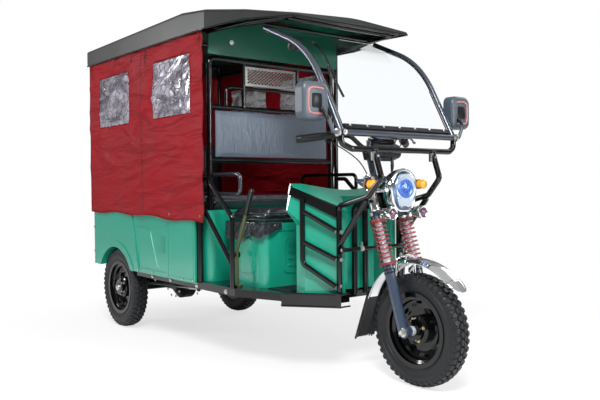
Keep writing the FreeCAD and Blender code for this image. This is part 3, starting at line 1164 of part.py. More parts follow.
def make_rear_axle():
    """Axle tube with its reduction casing, the drive motor behind it and the leaf springs."""
    reach = "rear_track / 2 - hub_width / 2 - plate_wall * 2"
    housing = rod("housing", "housing_radius", "(%s) * 2" % reach)
    place(housing, "0", "-(%s)" % reach, "0", LEFTWARD)
    casing = turned("casing", [[("-diff_half", "0"), ("-diff_half", "diff_radius / 2"),
                                ("-gear_half", "diff_radius"), ("gear_half", "diff_radius"),
                                ("diff_half", "diff_radius / 2"), ("diff_half", "0")]])
    gears = slab("gear_case", "y", "-gear_half", "gear_half", [box_loop(
        "-(motor_back + gear_round)", "-gear_round", "0", "gear_round", "gear_round * 0.9")])
    spindles = []
    for sign in ("", "-"):
        spindle = rod("spindle", "axle_radius", "plate_wall * 2 + hub_width * 2 / 3")
        y = reach if not sign else "-(%s) - plate_wall * 2 - hub_width * 2 / 3" % reach
        spindles.append(place(spindle, "0", y, "0", LEFTWARD))
    axle = joined("MultiFuse", "rear_axle", [housing, casing, gears] + spindles)
    keep(place(axle, "rear_axle_x", "0", "tyre_radius"), "rear_axle")
    motor = rod("drive_motor", "motor_radius", "motor_long")
    place(motor, "rear_axle_x - motor_back", "gear_half + frame_gap", "tyre_radius", LEFTWARD)
    keep(motor, "drive_motor")
    side = WHEEL_INSIDE + " - spring_tyre_gap"
    front = BAY_FRONT + " + leaf_lead"
    spring = slab("leaf", "y", side + " - leaf_wide", side, [[
        ("leaf_rear_x", "leaf_end_z - leaf_wall / 2"),
        ("rear_axle_x - leaf_wide", "tyre_radius + housing_radius + frame_gap", "housing_radius"),
        ("rear_axle_x + leaf_wide", "tyre_radius + housing_radius + frame_gap", "housing_radius"),
        (front, "leaf_end_z - leaf_wall / 2"), (front, "chassis_bottom - frame_gap"),
        (front + " - leaf_wide", "chassis_bottom - frame_gap"),
        ("rear_axle_x + leaf_wide", "tyre_radius + housing_radius + frame_gap + leaf_wall", "housing_radius"),
        ("rear_axle_x - leaf_wide", "tyre_radius + housing_radius + frame_gap + leaf_wall", "housing_radius"),
        ("leaf_rear_x + leaf_wide", "chassis_bottom - frame_gap"),
        ("leaf_rear_x", "chassis_bottom - frame_gap")]])
    keep(both_sides("leaf_springs", spring), "leaf_springs")
    lamp = slab("tail_lamp", "x", "side_rear_x - tail_lamp_deep - frame_gap", "side_rear_x - frame_gap", [
        box_loop("tail_lamp_side - tail_lamp_wide / 2", "tail_lamp_z - tail_lamp_tall / 2",
                 "tail_lamp_side + tail_lamp_wide / 2", "tail_lamp_z + tail_lamp_tall / 2", "mesh_frame")])
    keep(both_sides("tail_lamps", lamp), "tail_lamps")


make_wheels()
make_fork()
make_spring_cups()
make_fork_springs()
make_handlebar()
make_instruments()
make_lamps()
make_mudguard()
make_chassis()
make_floor()
make_front_frame()
make_leg_guards()
make_leg_shield()
make_windshield()
make_mirrors()
make_body_sides()
make_seats()
make_partition()
make_cabin_frame()
make_guards()
make_roof()
make_curtains()
make_rear_axle()

doc.recompute()
faults = ["%s %s" % (o.Label, o.State) for o in doc.Objects if {"Invalid", "Error"} & set(o.State)]
for piece in kept:
    if piece.Shape.isNull() or not piece.Shape.isValid() or piece.Shape.Volume <= 0:
        faults.append(piece.Label + " has no sound shape")
if faults:
    raise SystemExit("; ".join(faults))
os.makedirs("parts", exist_ok=True)
for piece in kept:
    piece.Shape.exportStep("parts/%s.step" % piece.Label)
print(len(kept), "pieces")
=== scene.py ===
# %% [markdown]
# # An electric auto rickshaw, dressed for its photograph
# The CAD frame gives every rigid piece its size and place. This script paints those pieces and adds
# what a workshop fits last: tread, cloth, cushions, wires, bolts and glass. Lengths are metres, X
# points forward, Y to the driver's left and Z up.

# %% Load the frame
import math
import random

import bmesh
import bpy
import numpy as np
from mathutils import Matrix, Vector


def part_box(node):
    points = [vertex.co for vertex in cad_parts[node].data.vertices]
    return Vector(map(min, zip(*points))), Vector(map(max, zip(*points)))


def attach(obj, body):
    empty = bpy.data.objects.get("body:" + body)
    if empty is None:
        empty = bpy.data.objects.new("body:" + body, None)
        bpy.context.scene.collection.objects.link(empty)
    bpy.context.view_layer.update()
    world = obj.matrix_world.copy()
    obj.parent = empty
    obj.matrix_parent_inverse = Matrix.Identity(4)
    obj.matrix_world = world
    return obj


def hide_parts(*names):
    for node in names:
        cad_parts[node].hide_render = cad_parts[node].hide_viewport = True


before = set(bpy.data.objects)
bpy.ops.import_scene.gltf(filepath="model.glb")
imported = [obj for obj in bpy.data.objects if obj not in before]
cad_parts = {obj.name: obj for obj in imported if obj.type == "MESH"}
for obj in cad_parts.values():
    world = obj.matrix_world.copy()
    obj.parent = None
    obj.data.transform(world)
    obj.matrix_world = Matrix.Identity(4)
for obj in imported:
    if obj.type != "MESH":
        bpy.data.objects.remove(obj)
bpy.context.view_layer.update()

# %% [markdown]
# ## Shader nodes
# A node tree can be drawn by hand in the shader editor. In a script each node takes a line to add
# and more to set and wire it. One helper that does all three keeps every tree below short.

# %% Adding nodes and groups
MM = 0.001


def add_node(tree, kind, sockets=(), **settings):
    """A node with its settings; sockets gives each input a value, or the output that feeds it."""
    made = tree.nodes.new(kind)
    for label, value in settings.items():
        setattr(made, label, value)
    for label, value in dict(sockets).items():
        if isinstance(value, bpy.types.NodeSocket):
            tree.links.new(value, made.inputs[label])
        else:
            made.inputs[label].default_value = value
    return made


def new_group(name, inputs, outputs):
    """A shader node group; inputs are (name, kind, default) and outputs (name, kind)."""
    group = bpy.data.node_groups.new(name, "ShaderNodeTree")
    for label, kind, value in inputs:
        socket = group.interface.new_socket(label, in_out="INPUT", socket_type="NodeSocket" + kind)
        socket.default_value = value
    for label, kind in outputs:
        group.interface.new_socket(label, in_out="OUTPUT", socket_type="NodeSocket" + kind)
    return group, group.nodes.new("NodeGroupInput").outputs, group.nodes.new("NodeGroupOutput").inputs


def math_node(tree, operation, first, second, clamp=False):
    """The output of a Math node."""
    return add_node(tree, "ShaderNodeMath", {0: first, 1: second}, operation=operation,
                    use_clamp=clamp).outputs[0]


def noise_node(tree, place, scale, detail, distortion=0.0):
    return add_node(tree, "ShaderNodeTexNoise", {"Vector": place, "Scale": scale, "Detail": detail,
                                                 "Distortion": distortion}).outputs


def object_place(tree):
    return add_node(tree, "ShaderNodeTexCoord").outputs["Object"]


print("shader helpers ready")

# %% [markdown]
# ## Colour that drifts, and fine grain
# Real paint, rubber and vinyl are never one flat colour. The same noise could be wired into every
# material; here it is built once, as a group with named inputs. One group lets colour and roughness
# wander slowly, the other gives the height of fine bumps.

# %% Two groups that nearly every material uses
def drift_group():
    group, given, out = new_group(
        "colour_drift",
        [("Colour", "Color", (0.5, 0.5, 0.5, 1)), ("Roughness", "Float", 0.4), ("Drift", "Float", 0.1),
         ("Scale", "Float", 6.0)],
        [("Colour", "Color"), ("Roughness", "Float")])
    noise = noise_node(group, object_place(group), given["Scale"], 4)
    centred = math_node(group, "SUBTRACT", noise["Fac"], 0.5)
    amount = math_node(group, "MULTIPLY", centred, given["Drift"])
    tint = add_node(group, "ShaderNodeVectorMath",
                    {0: given["Colour"], "Scale": math_node(group, "ADD", amount, 1)}, operation="SCALE")
    group.links.new(tint.outputs[0], out["Colour"])
    group.links.new(math_node(group, "ADD", given["Roughness"], amount, True), out["Roughness"])
    return group


def grain_group():
    group, given, out = new_group("fine_grain", [("Scale", "Float", 300.0)], [("Height", "Float")])
    noise = noise_node(group, object_place(group), given["Scale"], 3)
    group.links.new(noise["Fac"], out["Height"])
    return group


DRIFT, GRAIN = drift_group(), grain_group()
print("groups", [g.name for g in bpy.data.node_groups])

# %% [markdown]
# ## A material maker
# Each finish is one Principled shader in its own node tree, fed by the two groups, so that a finish
# is a single line: a name, a colour, a roughness and a few amounts.

# %% From numbers to a material
MATERIALS = {}


def finish_of(name, colour, rough, drift=0.1, scale=6, grain=0, grain_scale=300, **sockets):
    """A Principled material fed by the groups; sockets sets constants such as Metallic."""
    mat = bpy.data.materials.new(name)
    mat.use_nodes = True
    tree = mat.node_tree
    shader = tree.nodes["Principled BSDF"]
    drifted = add_node(tree, "ShaderNodeGroup", {"Colour": (*colour, 1), "Roughness": rough, "Drift": drift,
                                                 "Scale": scale}, node_tree=DRIFT)
    tree.links.new(drifted.outputs["Colour"], shader.inputs["Base Color"])
    tree.links.new(drifted.outputs["Roughness"], shader.inputs["Roughness"])
    if grain:
        height = add_node(tree, "ShaderNodeGroup", {"Scale": grain_scale}, node_tree=GRAIN)
        bump = add_node(tree, "ShaderNodeBump",
                        {"Strength": grain, "Distance": MM, "Height": height.outputs[0]})
        tree.links.new(bump.outputs["Normal"], shader.inputs["Normal"])
    for label, value in sockets.items():
        shader.inputs[label.replace("_", " ")].default_value = value
    MATERIALS[name] = mat
    return mat


print("finish maker ready")

# %% [markdown]
# ## Paints
# The body is sprayed gloss green, the tubes gloss black and the fork dark blue. The roof liner wears a
# darker copy of the body green: painted shade under the canopy. A clear coat gives enamel its second,
# sharper reflection. Black paint under broad lamps soon turns grey, so its specular is lowered.

# %% Paints
finish_of("green_paint", (0.008, 0.28, 0.185), 0.24, 0.06, 3, Coat_Weight=0.5, Coat_Roughness=0.09)
# Painted shade: the body green darkened for the roof liner, which lies in the canopy's shade.
finish_of("liner_green_painted_shade", (0.004, 0.09, 0.054), 0.3, 0.06, 3, Coat_Weight=0.2)
finish_of("gloss_black", (0.002, 0.0022, 0.0026), 0.16, 0.1, 8, Coat_Weight=0.3, Coat_Roughness=0.05,
          Specular_IOR_Level=0.28)
finish_of("satin_black", (0.005, 0.0055, 0.007), 0.34, 0.15, 9, 0.15, Specular_IOR_Level=0.35)
finish_of("hole_shade_black", (0.002, 0.002, 0.002), 0.6, 0.1, 9)
finish_of("fork_blue", (0.034, 0.05, 0.084), 0.26, 0.1, 12, Coat_Weight=0.5)
finish_of("olive_paint", (0.06, 0.075, 0.02), 0.4, 0.1, 12)
finish_of("spring_red", (0.2, 0.008, 0.014), 0.28, 0.1, 12, Coat_Weight=0.5)
print(len(MATERIALS), "paints")

# %% [markdown]
# ## Metals
# Lamps and mudguard are chromed, bolts are zinc-plated, eyelets and front wheel nuts are brass.
# Metals take their colour from what they mirror, so only the plating's tint and roughness are set.
# The blue-grey on the windshield frame and the near armrest is painted sheen of black gloss tubes.

# %% Metals
finish_of("chrome", (0.86, 0.87, 0.88), 0.06, 0.03, 6, Metallic=1)
finish_of("zinc", (0.6, 0.59, 0.56), 0.3, 0.12, 40, Metallic=1)
finish_of("brass", (0.62, 0.5, 0.3), 0.3, 0.12, 40, Metallic=1)
finish_of("mesh_steel", (0.26, 0.26, 0.25), 0.35, 0.12, 40, Metallic=0.9)
# Painted sheen: a lighter blue-grey metal colour stands in for the reflection on black gloss tubes.
finish_of("blue_grey_painted_sheen", (0.095, 0.105, 0.13), 0.25, 0.1, 8, Metallic=0.75)
finish_of("cream_metal", (0.55, 0.52, 0.4), 0.3, 0.1, 20, Metallic=0.8)
finish_of("pale_tube", (0.72, 0.71, 0.76), 0.2, 0.05, 9, Metallic=0.25, Coat_Weight=0.5)
finish_of("lamp_back", (0.25, 0.32, 0.45), 0.15, 0.05, 9, Metallic=0.9)
finish_of("mirror_glass", (0.9, 0.92, 0.95), 0.02, 0, 9, Metallic=1)
print(len(MATERIALS), "finishes with the metals")

# %% [markdown]
# ## Rubber, plastic and glass
# Tyres and roof skin are dull and grainy, housings are smooth grey plastic, lenses are clear or
# tinted. The windshield's index is close to 1, because a full 1.5 on a thin sheet with two faces
# would show as a thick lens.

# %% Rubber, plastic and glass
finish_of("tyre_rubber", (0.0065, 0.0075, 0.0095), 0.5, 0.2, 9, 0.35, 220, Specular_IOR_Level=0.4)
finish_of("roof_skin", (0.011, 0.014, 0.0118), 0.42, 0.25, 2.4, 0.1, 60, Coat_Weight=0.08)
finish_of("light_grey", (0.42, 0.44, 0.47), 0.4, 0.1, 20)
finish_of("plastic_grey", (0.055, 0.072, 0.092), 0.4, 0.1, 9, 0.2)
finish_of("rose_plastic", (0.45, 0.16, 0.15), 0.35, 0.1, 20)
finish_of("pod_blue", (0.01, 0.03, 0.2), 0.08, 0.1, 9, Coat_Weight=1)
finish_of("projector_blue", (0.07, 0.18, 0.58), 0.08, 0, 9, Metallic=0.4, Coat_Weight=1)
finish_of("amber_lens", (0.9, 0.36, 0.02), 0.12, 0.1, 20, Coat_Weight=0.6)
finish_of("tail_red", (0.35, 0.01, 0.01), 0.15, 0.1, 9, Coat_Weight=0.5)
finish_of("rose_glass", (0.17, 0.05, 0.11), 0.1, 0, 9, Coat_Weight=1)
finish_of("spot_glass", (0.05, 0.015, 0.05), 0.04, 0.1, 30, Coat_Weight=1)
finish_of("light_white", (0.85, 0.87, 0.85), 0.2, 0, 9, Coat_Weight=0.5)
finish_of("screen_glass", (0.96, 0.985, 1), 0.01, 0, 6, Transmission_Weight=1, IOR=1.06)
finish_of("lamp_glass", (0.75, 0.86, 1), 0.02, 0, 6, Transmission_Weight=1, IOR=1.3)
print(len(MATERIALS), "finishes with plastic and glass")

# %% [markdown]
# ## Cloth and vinyl, with their wrinkles
# The curtains are a coated crimson weave and the seats are vinyl. Wide folds are modelled; creases
# too small for that come from one more group, a noise turned and stretched so that it runs the way
# the cloth hangs.

# %% Cloth, vinyl and wrinkles
finish_of("red_cloth", (0.235, 0.0022, 0.0075), 0.6, 0.5, 4, 0.4, 700, Specular_IOR_Level=0.14)
finish_of("seam_dark", (0.05, 0.004, 0.007), 0.7, 0.2, 60, 0.4, 500)
finish_of("black_vinyl", (0.016, 0.019, 0.024), 0.25, 0.12, 10, 0.35, 380, Coat_Weight=0.6)
finish_of("grey_vinyl", (0.075, 0.095, 0.125), 0.42, 0.16, 9, 0.4, 260)


def wrinkle_group():
    """A turned and stretched noise: its height for a Bump node, its colour to bend other patterns."""
    group, given, out = new_group(
        "soft_wrinkles",
        [("Scale", "Float", 5.0), ("Turn", "Vector", (0, 0, 0)), ("Stretch", "Vector", (1, 1, 1))],
        [("Height", "Float"), ("Bend", "Color")])
    mapping = add_node(group, "ShaderNodeMapping", {"Vector": object_place(group), "Rotation": given["Turn"],
                                                    "Scale": given["Stretch"]})
    noise = noise_node(group, mapping.outputs[0], given["Scale"], 2.5, 0.9)
    group.links.new(noise["Fac"], out["Height"])
    group.links.new(noise["Color"], out["Bend"])
    return group


WRINKLES = wrinkle_group()


def wrinkled(name, scale, turn, stretch, depth):
    """Lay the wrinkle group under a material's grain; turn is in degrees. Gives its outputs."""
    tree = MATERIALS[name].node_tree
    soft = add_node(tree, "ShaderNodeGroup", {"Scale": scale, "Turn": [math.radians(angle) for angle in turn],
                                              "Stretch": stretch}, node_tree=WRINKLES)
    fine = [n for n in tree.nodes if n.type == "BUMP"]
    bump = add_node(tree, "ShaderNodeBump",
                    {"Strength": 1, "Distance": depth, "Height": soft.outputs["Height"]})
    target = fine[0] if fine else tree.nodes["Principled BSDF"]
    tree.links.new(bump.outputs["Normal"], target.inputs["Normal"])
    return soft.outputs


wrinkled("red_cloth", 4.6, (0, 34, 0), (0.55, 1.0, 2.3), 42 * MM)
wrinkled("black_vinyl", 16, (0, 0, 20), (1, 2.2, 1), 7 * MM)
wrinkled("grey_vinyl", 13, (12, 0, 0), (1, 2.4, 0.8), 4 * MM)
print(len(MATERIALS), "finishes with the cloth")

# %% [markdown]
# ## Window film
# The curtains' windows are clear vinyl that has been rolled up many times: milky where it is
# scuffed, see-through elsewhere, and crossed by a net of sharp creases. Those are the edges of
# Voronoi cells, bent by the wrinkle noise so that none looks drawn with a ruler. The colour is
# darkened along the creases as painted shade.

# %% Film with creases
def spread_node(tree, value, low, high, to_low, to_high):
    """Map a value from one range to another."""
    return add_node(tree, "ShaderNodeMapRange", {"Value": value, "From Min": low, "From Max": high,
                                                 "To Min": to_low, "To Max": to_high}).outputs["Result"]


def film_finish():
    mat = finish_of("clear_film", (0.3, 0.285, 0.34), 0.14, 0.3, 7, Coat_Weight=0.5)
    soft = wrinkled("clear_film", 7, (0, -35, 0), (0.8, 1.0, 1.9), 6 * MM)
    tree = mat.node_tree
    shader = tree.nodes["Principled BSDF"]
    bend = add_node(tree, "ShaderNodeVectorMath", {0: soft["Bend"], 1: (0.14, 0.14, 0.14),
                                                   2: object_place(tree)},
                    operation="MULTIPLY_ADD")
    crease = add_node(tree, "ShaderNodeTexVoronoi", {"Vector": bend.outputs[0], "Scale": 19},
                      feature="DISTANCE_TO_EDGE")
    line = spread_node(tree, crease.outputs["Distance"], 0, 0.09, 0.25, 1)
    under = shader.inputs["Normal"].links[0].from_socket
    bump = add_node(tree, "ShaderNodeBump", {"Distance": 4 * MM, "Height": line, "Normal": under})
    tree.links.new(bump.outputs["Normal"], shader.inputs["Normal"])
    milk = spread_node(tree, soft["Height"], 0.36, 0.62, 0.55, 1.3)
    plain = shader.inputs["Base Color"].links[0].from_socket
    # The colour is darkened along the creases: painted shade in the creases.
    tint = add_node(tree, "ShaderNodeVectorMath",
                    {0: plain, "Scale": math_node(tree, "MULTIPLY", milk, line)}, operation="SCALE")
    tree.links.new(tint.outputs[0], shader.inputs["Base Color"])
    tree.links.new(spread_node(tree, soft["Height"], 0.38, 0.6, 0.62, 0.95), shader.inputs["Alpha"])


film_finish()
print(len(MATERIALS), "finishes in all")

# %% [markdown]
# ## Paint the frame
# Each CAD node takes one finish. A plain table is the easiest way to see what is painted what, and
# a last line prints any node that the table forgot.

# %% Which node wears what
WEARS = {
    "green_paint": "side_panel_left side_panel_right tail_panel wheel_wells seat_box_driver "
                   "seat_box_middle seat_box_rear leg_shield",
    # painted shade: the roof liner wears a darkened copy of the body green
    "liner_green_painted_shade": "roof_liner",
    "gloss_black": "chassis_frame floor_pan front_step front_frame leg_guards partition_frame "
                   "cabin_frame side_guard_left side_guard_right armrest_left "
                   "front_rim rear_left_rim rear_right_rim handlebar dash_trim",
    "satin_black": "rear_axle drive_motor leaf_springs grips mudguard_flap battery_pack instruments",
    # painted sheen: windshield frame and near armrest wear blue-grey, the far armrest stays gloss black
    "blue_grey_painted_sheen": "windshield_frame armrest_right",
    "fork_blue": "fork",
    "olive_paint": "brake_lever",
    "plastic_grey": "mirror_left mirror_right",
    "roof_skin": "roof_panel",
    "tyre_rubber": "front_tyre rear_left_tyre rear_right_tyre",
    "chrome": "headlamp mudguard spot_lamps",
    "spring_red": "fork_springs spring_cups",
    "red_cloth": "curtain_left curtain_right curtain_rear",
    "clear_film": "curtain_windows",
    "screen_glass": "windshield_glass",
    "lamp_glass": "headlamp_lens",
    "amber_lens": "signal_lamps",
    "tail_red": "tail_lamps",
    "black_vinyl": "cushion_driver cushion_middle cushion_rear backrest_rear",
    "grey_vinyl": "partition_panel",
    "mesh_steel": "partition_mesh",
}
bare = set(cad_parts)
for finish, names in WEARS.items():
    for node in names.split():
        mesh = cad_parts[node].data
        mesh.materials.clear()
        mesh.materials.append(MATERIALS[finish])
        bare.discard(node)
print("nodes still bare:", sorted(bare))

# %% [markdown]
# ## Turned forms and tubes
# Nearly everything below comes from a few simple forms. Blender has its own cylinders and curves,
# but a form here is only points and faces, so that many small ones can be moved and joined before
# they become one mesh. A lamp rim is a profile turned about an axis, and a rod or wire is a ring of
# points carried along a line.

# %% Lathe and tube
def lathe(profile, steps=32, caps=True):
    """Turn (radius, height) pairs about Z."""
    points, faces = [], []
    count = len(profile)
    for i in range(steps):
        angle = 2 * math.pi * i / steps
        points += [(r * math.cos(angle), r * math.sin(angle), h) for r, h in profile]
    for i in range(steps):
        a, b = i * count, (i + 1) % steps * count
        faces += [(a + k, b + k, b + k + 1, a + k + 1) for k in range(count - 1)]
    if caps:
        faces.append(tuple(i * count for i in range(steps))[::-1])
        faces.append(tuple(i * count + count - 1 for i in range(steps)))
    return np.array(points), faces


def ring_faces(rings, count):
    """The faces between rings that lie one after another, each of count points."""
    corners = [(i * count + k, i * count + (k + 1) % count) for i in range(rings - 1) for k in range(count)]
    return [(a, b, b + count, a + count) for a, b in corners]


def tube(path, radius, sides=8, caps=True):
    """A round tube along a line of points. radius may be one number or one for each point."""
    path = [Vector(p) for p in path]
    radii = radius if hasattr(radius, "__len__") else [radius] * len(path)
    normal = None
    points = []
    for i, here in enumerate(path):
        before, after = path[max(i - 1, 0)], path[min(i + 1, len(path) - 1)]
        along = (after - before).normalized()
        if normal is None:
            normal = along.orthogonal().normalized()
        normal = (normal - along * normal.dot(along)).normalized()
        across = along.cross(normal)
        for k in range(sides):
            angle = 2 * math.pi * k / sides
            points.append(here + (normal * math.cos(angle) + across * math.sin(angle)) * radii[i])
    faces = ring_faces(len(path), sides)
    if caps:
        faces.append(tuple(range(sides))[::-1])
        faces.append(tuple(len(points) - sides + k for k in range(sides)))
    return np.array(points), faces


def smooth_path(points, steps=6):
    """A rounded line through control points (a uniform quadratic spline from end to end)."""
    knots = [Vector(p) for p in points]
    out = [knots[0]]
    for i in range(1, len(knots) - 1):
        start = knots[0] if i == 1 else (knots[i - 1] + knots[i]) / 2
        end = knots[-1] if i == len(knots) - 2 else (knots[i] + knots[i + 1]) / 2
        for k in range(1, steps + 1):
            t = k / steps
            out.append(start * (1 - t) ** 2 + knots[i] * 2 * t * (1 - t) + end * t * t)
    return out


print("a tube of 3 rings has", len(ring_faces(3, 8)), "side faces")

# %% [markdown]
# ## Boxes, plates and surfaces
# No real edge is perfectly sharp, so a box gets rounded edges and a plate a small chamfer that
# catches the light. A plate is a stack of outlines. Cloth is a grid of points that a rule bends,
# which also makes it easy to leave window openings.

# %% Block, stack, plate and grid
def block(size, bevel=0.002, rounds=2):
    """A box about the origin with its edges rounded."""
    made = bmesh.new()
    bmesh.ops.create_cube(made, size=1)
    bmesh.ops.scale(made, vec=size, verts=made.verts)
    bmesh.ops.bevel(made, geom=made.edges, offset=bevel, segments=rounds, affect="EDGES")
    made.verts.index_update()
    form = (np.array([tuple(v.co) for v in made.verts]),
            [tuple(v.index for v in f.verts) for f in made.faces])
    made.free()
    return form


def stacked(layers, floor=True):
    """A closed form through layers (outline, height); floor=False leaves its underside open."""
    count = len(layers[0][0])
    points = [(x, y, z) for flat, z in layers for x, y in flat]
    faces = [tuple(range(count))[::-1]] if floor else []
    faces.append(tuple(range(len(points) - count, len(points))))
    return np.array(points), faces + ring_faces(len(layers), count)


def plate(outline, thick, chamfer):
    """A flat plate in XY, thick along Z, with a small chamfer round its upper edge."""
    flat = np.array(outline, float)
    middle = flat.mean(0)
    reach = np.abs(flat - middle).max()
    upper = middle + (flat - middle) * (1 - chamfer / reach)
    return stacked([(flat, 0), (flat, thick - chamfer), (upper, thick)])


def grid(us, vs, rule, keep=None):
    """A surface over two lists of numbers: rule(u, v) gives each point, keep(u, v) leaves holes."""
    points = [rule(u, v) for v in vs for u in us]
    faces = []
    for j in range(len(vs) - 1):
        for i in range(len(us) - 1):
            if keep is None or keep((us[i] + us[i + 1]) / 2, (vs[j] + vs[j + 1]) / 2):
                a = j * len(us) + i
                faces.append((a, a + 1, a + 1 + len(us), a + len(us)))
    return np.array(points), faces


print("a rounded box has", len(block((1, 1, 1))[1]), "faces")

# %% [markdown]
# ## Moving and joining forms
# A form is drawn where it is easy to draw, about the origin, and a matrix then carries it to its
# place. The most useful matrix here lays a form's own Z axis along any direction, such as a bolt
# along the normal of the sheet it holds.

# %% Move, join and face
def moved(form, matrix):
    points = np.c_[form[0], np.ones(len(form[0]))] @ np.array(matrix).T
    return points[:, :3], form[1]


def at_place(form, x, y, z):
    """The form carried along the axes."""
    return moved(form, Matrix.Translation((x, y, z)))


def joined(forms):
    points, faces, count = [], [], 0
    for part, sides in forms:
        points.append(part)
        faces += [tuple(k + count for k in side) for side in sides]
        count += len(part)
    return np.concatenate(points), faces


def facing(place, up, ahead=(0, 0, 1)):
    """A matrix that puts a form's own Z along up at a place, and its X as near ahead as it can."""
    z = Vector(up).normalized()
    x = Vector(ahead) - z * Vector(ahead).dot(z)
    x = x.normalized() if x.length > 1e-6 else z.orthogonal().normalized()
    y = z.cross(x)
    return Matrix.Translation(Vector(place)) @ Matrix((x, y, z)).transposed().to_4x4()


print("a form's Z laid along X:", [round(v, 2) for v in facing((0, 0, 0), (1, 0, 0)) @ Vector((0, 0, 1))])

# %% [markdown]
# ## From a form to a piece
# A piece is one mesh with one finish, riding on one body. Smooth shading with sharp edges above an
# angle gives turned metal its clean highlights. Cloth is drawn as a single surface and gets its
# thickness from Solidify, which is then made part of the mesh.

# %% Piece maker
def placed(name, data):
    """A new object in the scene."""
    obj = bpy.data.objects.new(name, data)
    bpy.context.scene.collection.objects.link(obj)
    return obj


def mesh_of(name, form):
    mesh = bpy.data.meshes.new(name)
    mesh.from_pydata([tuple(p) for p in form[0]], [], form[1])
    return mesh


def smoothed(mesh, crisp):
    """Shade smooth, with sharp edges where two faces meet at more than crisp degrees."""
    mesh.shade_smooth()
    mesh.set_sharp_from_angle(angle=math.radians(crisp))


def applied(obj):
    """Swap an object's mesh for its evaluated one, and drop the modifiers."""
    bpy.context.view_layer.update()
    graph = bpy.context.evaluated_depsgraph_get()
    mesh = bpy.data.meshes.new_from_object(obj.evaluated_get(graph), depsgraph=graph)
    obj.modifiers.clear()
    old = obj.data
    obj.data = mesh
    bpy.data.meshes.remove(old)
    return obj


def piece(name, form, finish, body="root", crisp=35, wall=0):
    """A mesh object with one finish that rides on a body; wall makes a sheet solid."""
    mesh = mesh_of(name, form)
    mesh.materials.append(MATERIALS[finish])
    cleaned = bmesh.new()
    cleaned.from_mesh(mesh)
    bmesh.ops.delete(cleaned, geom=[v for v in cleaned.verts if not v.link_faces], context="VERTS")
    if not wall:
        bmesh.ops.recalc_face_normals(cleaned, faces=cleaned.faces)
    cleaned.to_mesh(mesh)
    cleaned.free()
    smoothed(mesh, crisp)
    obj = placed(name, mesh)
    if wall:
        solid = obj.modifiers.new("wall", "SOLIDIFY")
        solid.thickness = wall
        solid.offset = 0
        applied(obj)
    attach(obj, body)
    return obj


print("piece maker ready")

# %% [markdown]
# ## Repeating things
# Bolts, tread blocks and ribs repeat many times. Copies in a loop would each be another object. A
# small Geometry Nodes tree sets one small form on every point of a carrier mesh instead; two
# attributes on the points, turn and size, say how each one lies.

# %% The repeater
def repeat_group():
    group = bpy.data.node_groups.new("repeat_piece", "GeometryNodeTree")
    for label in ("Geometry", "Piece", "Finish"):
        kind = {"Geometry": "Geometry", "Piece": "Object", "Finish": "Material"}[label]
        group.interface.new_socket(label, in_out="INPUT", socket_type="NodeSocket" + kind)
    group.interface.new_socket("Geometry", in_out="OUTPUT", socket_type="NodeSocketGeometry")
    given = group.nodes.new("NodeGroupInput").outputs
    out = group.nodes.new("NodeGroupOutput").inputs
    info = add_node(group, "GeometryNodeObjectInfo", {"Object": given["Piece"]})
    turn = add_node(group, "GeometryNodeInputNamedAttribute", {"Name": "turn"}, data_type="FLOAT_VECTOR")
    size = add_node(group, "GeometryNodeInputNamedAttribute", {"Name": "size"}, data_type="FLOAT")
    spread = add_node(group, "GeometryNodeInstanceOnPoints", {
        "Points": given["Geometry"], "Instance": info.outputs["Geometry"],
        "Rotation": turn.outputs["Attribute"], "Scale": size.outputs["Attribute"]})
    real = add_node(group, "GeometryNodeRealizeInstances", {"Geometry": spread.outputs["Instances"]})
    dress = add_node(group, "GeometryNodeSetMaterial", {"Geometry": real.outputs["Geometry"],
                                                        "Material": given["Finish"]})
    group.links.new(dress.outputs["Geometry"], out["Geometry"])
    return group


REPEAT = repeat_group()
print("the repeater's inputs:", [item.name for item in REPEAT.interface.items_tree if item.in_out == "INPUT"])

# %% [markdown]
# ## Using the repeater
# The carrier mesh has one point for each bolt or rib. The tree's inputs are set by their socket
# identifiers, and the result is turned into a plain mesh, because an exported model keeps no
# instances. The form repeated most is a hexagon bolt head on its washer.

# %% Repeated forms and the bolt
def repeated(name, form, finish, body, spots, crisp=30):
    """One mesh of the form at every spot; a spot is a matrix, or a matrix and a size."""
    small = mesh_of(name + "_one", form)
    smoothed(small, crisp)
    single = placed(name + "_one", small)
    spots = [s if isinstance(s, tuple) else (s, 1) for s in spots]
    carrier = bpy.data.meshes.new(name)
    carrier.from_pydata([tuple(m.translation) for m, _ in spots], [], [])
    turn = carrier.attributes.new("turn", "FLOAT_VECTOR", "POINT")
    turn.data.foreach_set("vector", [a for m, _ in spots for a in m.to_euler()])
    size = carrier.attributes.new("size", "FLOAT", "POINT")
    size.data.foreach_set("value", [s for _, s in spots])
    obj = placed(name, carrier)
    spread = obj.modifiers.new("repeat", "NODES")
    spread.node_group = REPEAT
    sockets = {item.name: item.identifier for item in REPEAT.interface.items_tree if item.in_out == "INPUT"}
    spread[sockets["Piece"]] = single
    spread[sockets["Finish"]] = MATERIALS[finish]
    applied(obj)
    bpy.data.objects.remove(single)
    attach(obj, body)
    return obj


def bolt_form(across, tall):
    """A hexagon bolt head on a washer, with a domed top."""
    hexagon = [(math.cos(math.pi / 3 * k) * across / 2, math.sin(math.pi / 3 * k) * across / 2)
               for k in range(6)]
    washer = lathe([(across * 0.72, 0), (across * 0.72, tall * 0.25)], 16)
    return joined([washer, at_place(plate(hexagon, tall * 0.8, tall * 0.18), 0, 0, tall * 0.2)])


print("one bolt has", len(bolt_form(0.012, 0.006)[1]), "faces")

# %% [markdown]
# ## Tyres
# Each tyre is a turned carcass with shallow grooves, and rubber blocks that one small form makes
# over and over: two zigzag rows in the middle and two rows of lugs over each shoulder.

# %% Tyre carcass and tread block
TYRE_RADIUS = 0.249
TREAD_DEPTH = 0.008
BLOCKS = 46
WHEELS = {"front": ("front_wheel", Vector((1.1145, 0, TYRE_RADIUS))),
          "rear_left": ("rear_wheel_left", Vector((-1.0015, 0.4245, TYRE_RADIUS))),
          "rear_right": ("rear_wheel_right", Vector((-1.0015, -0.4245, TYRE_RADIUS)))}


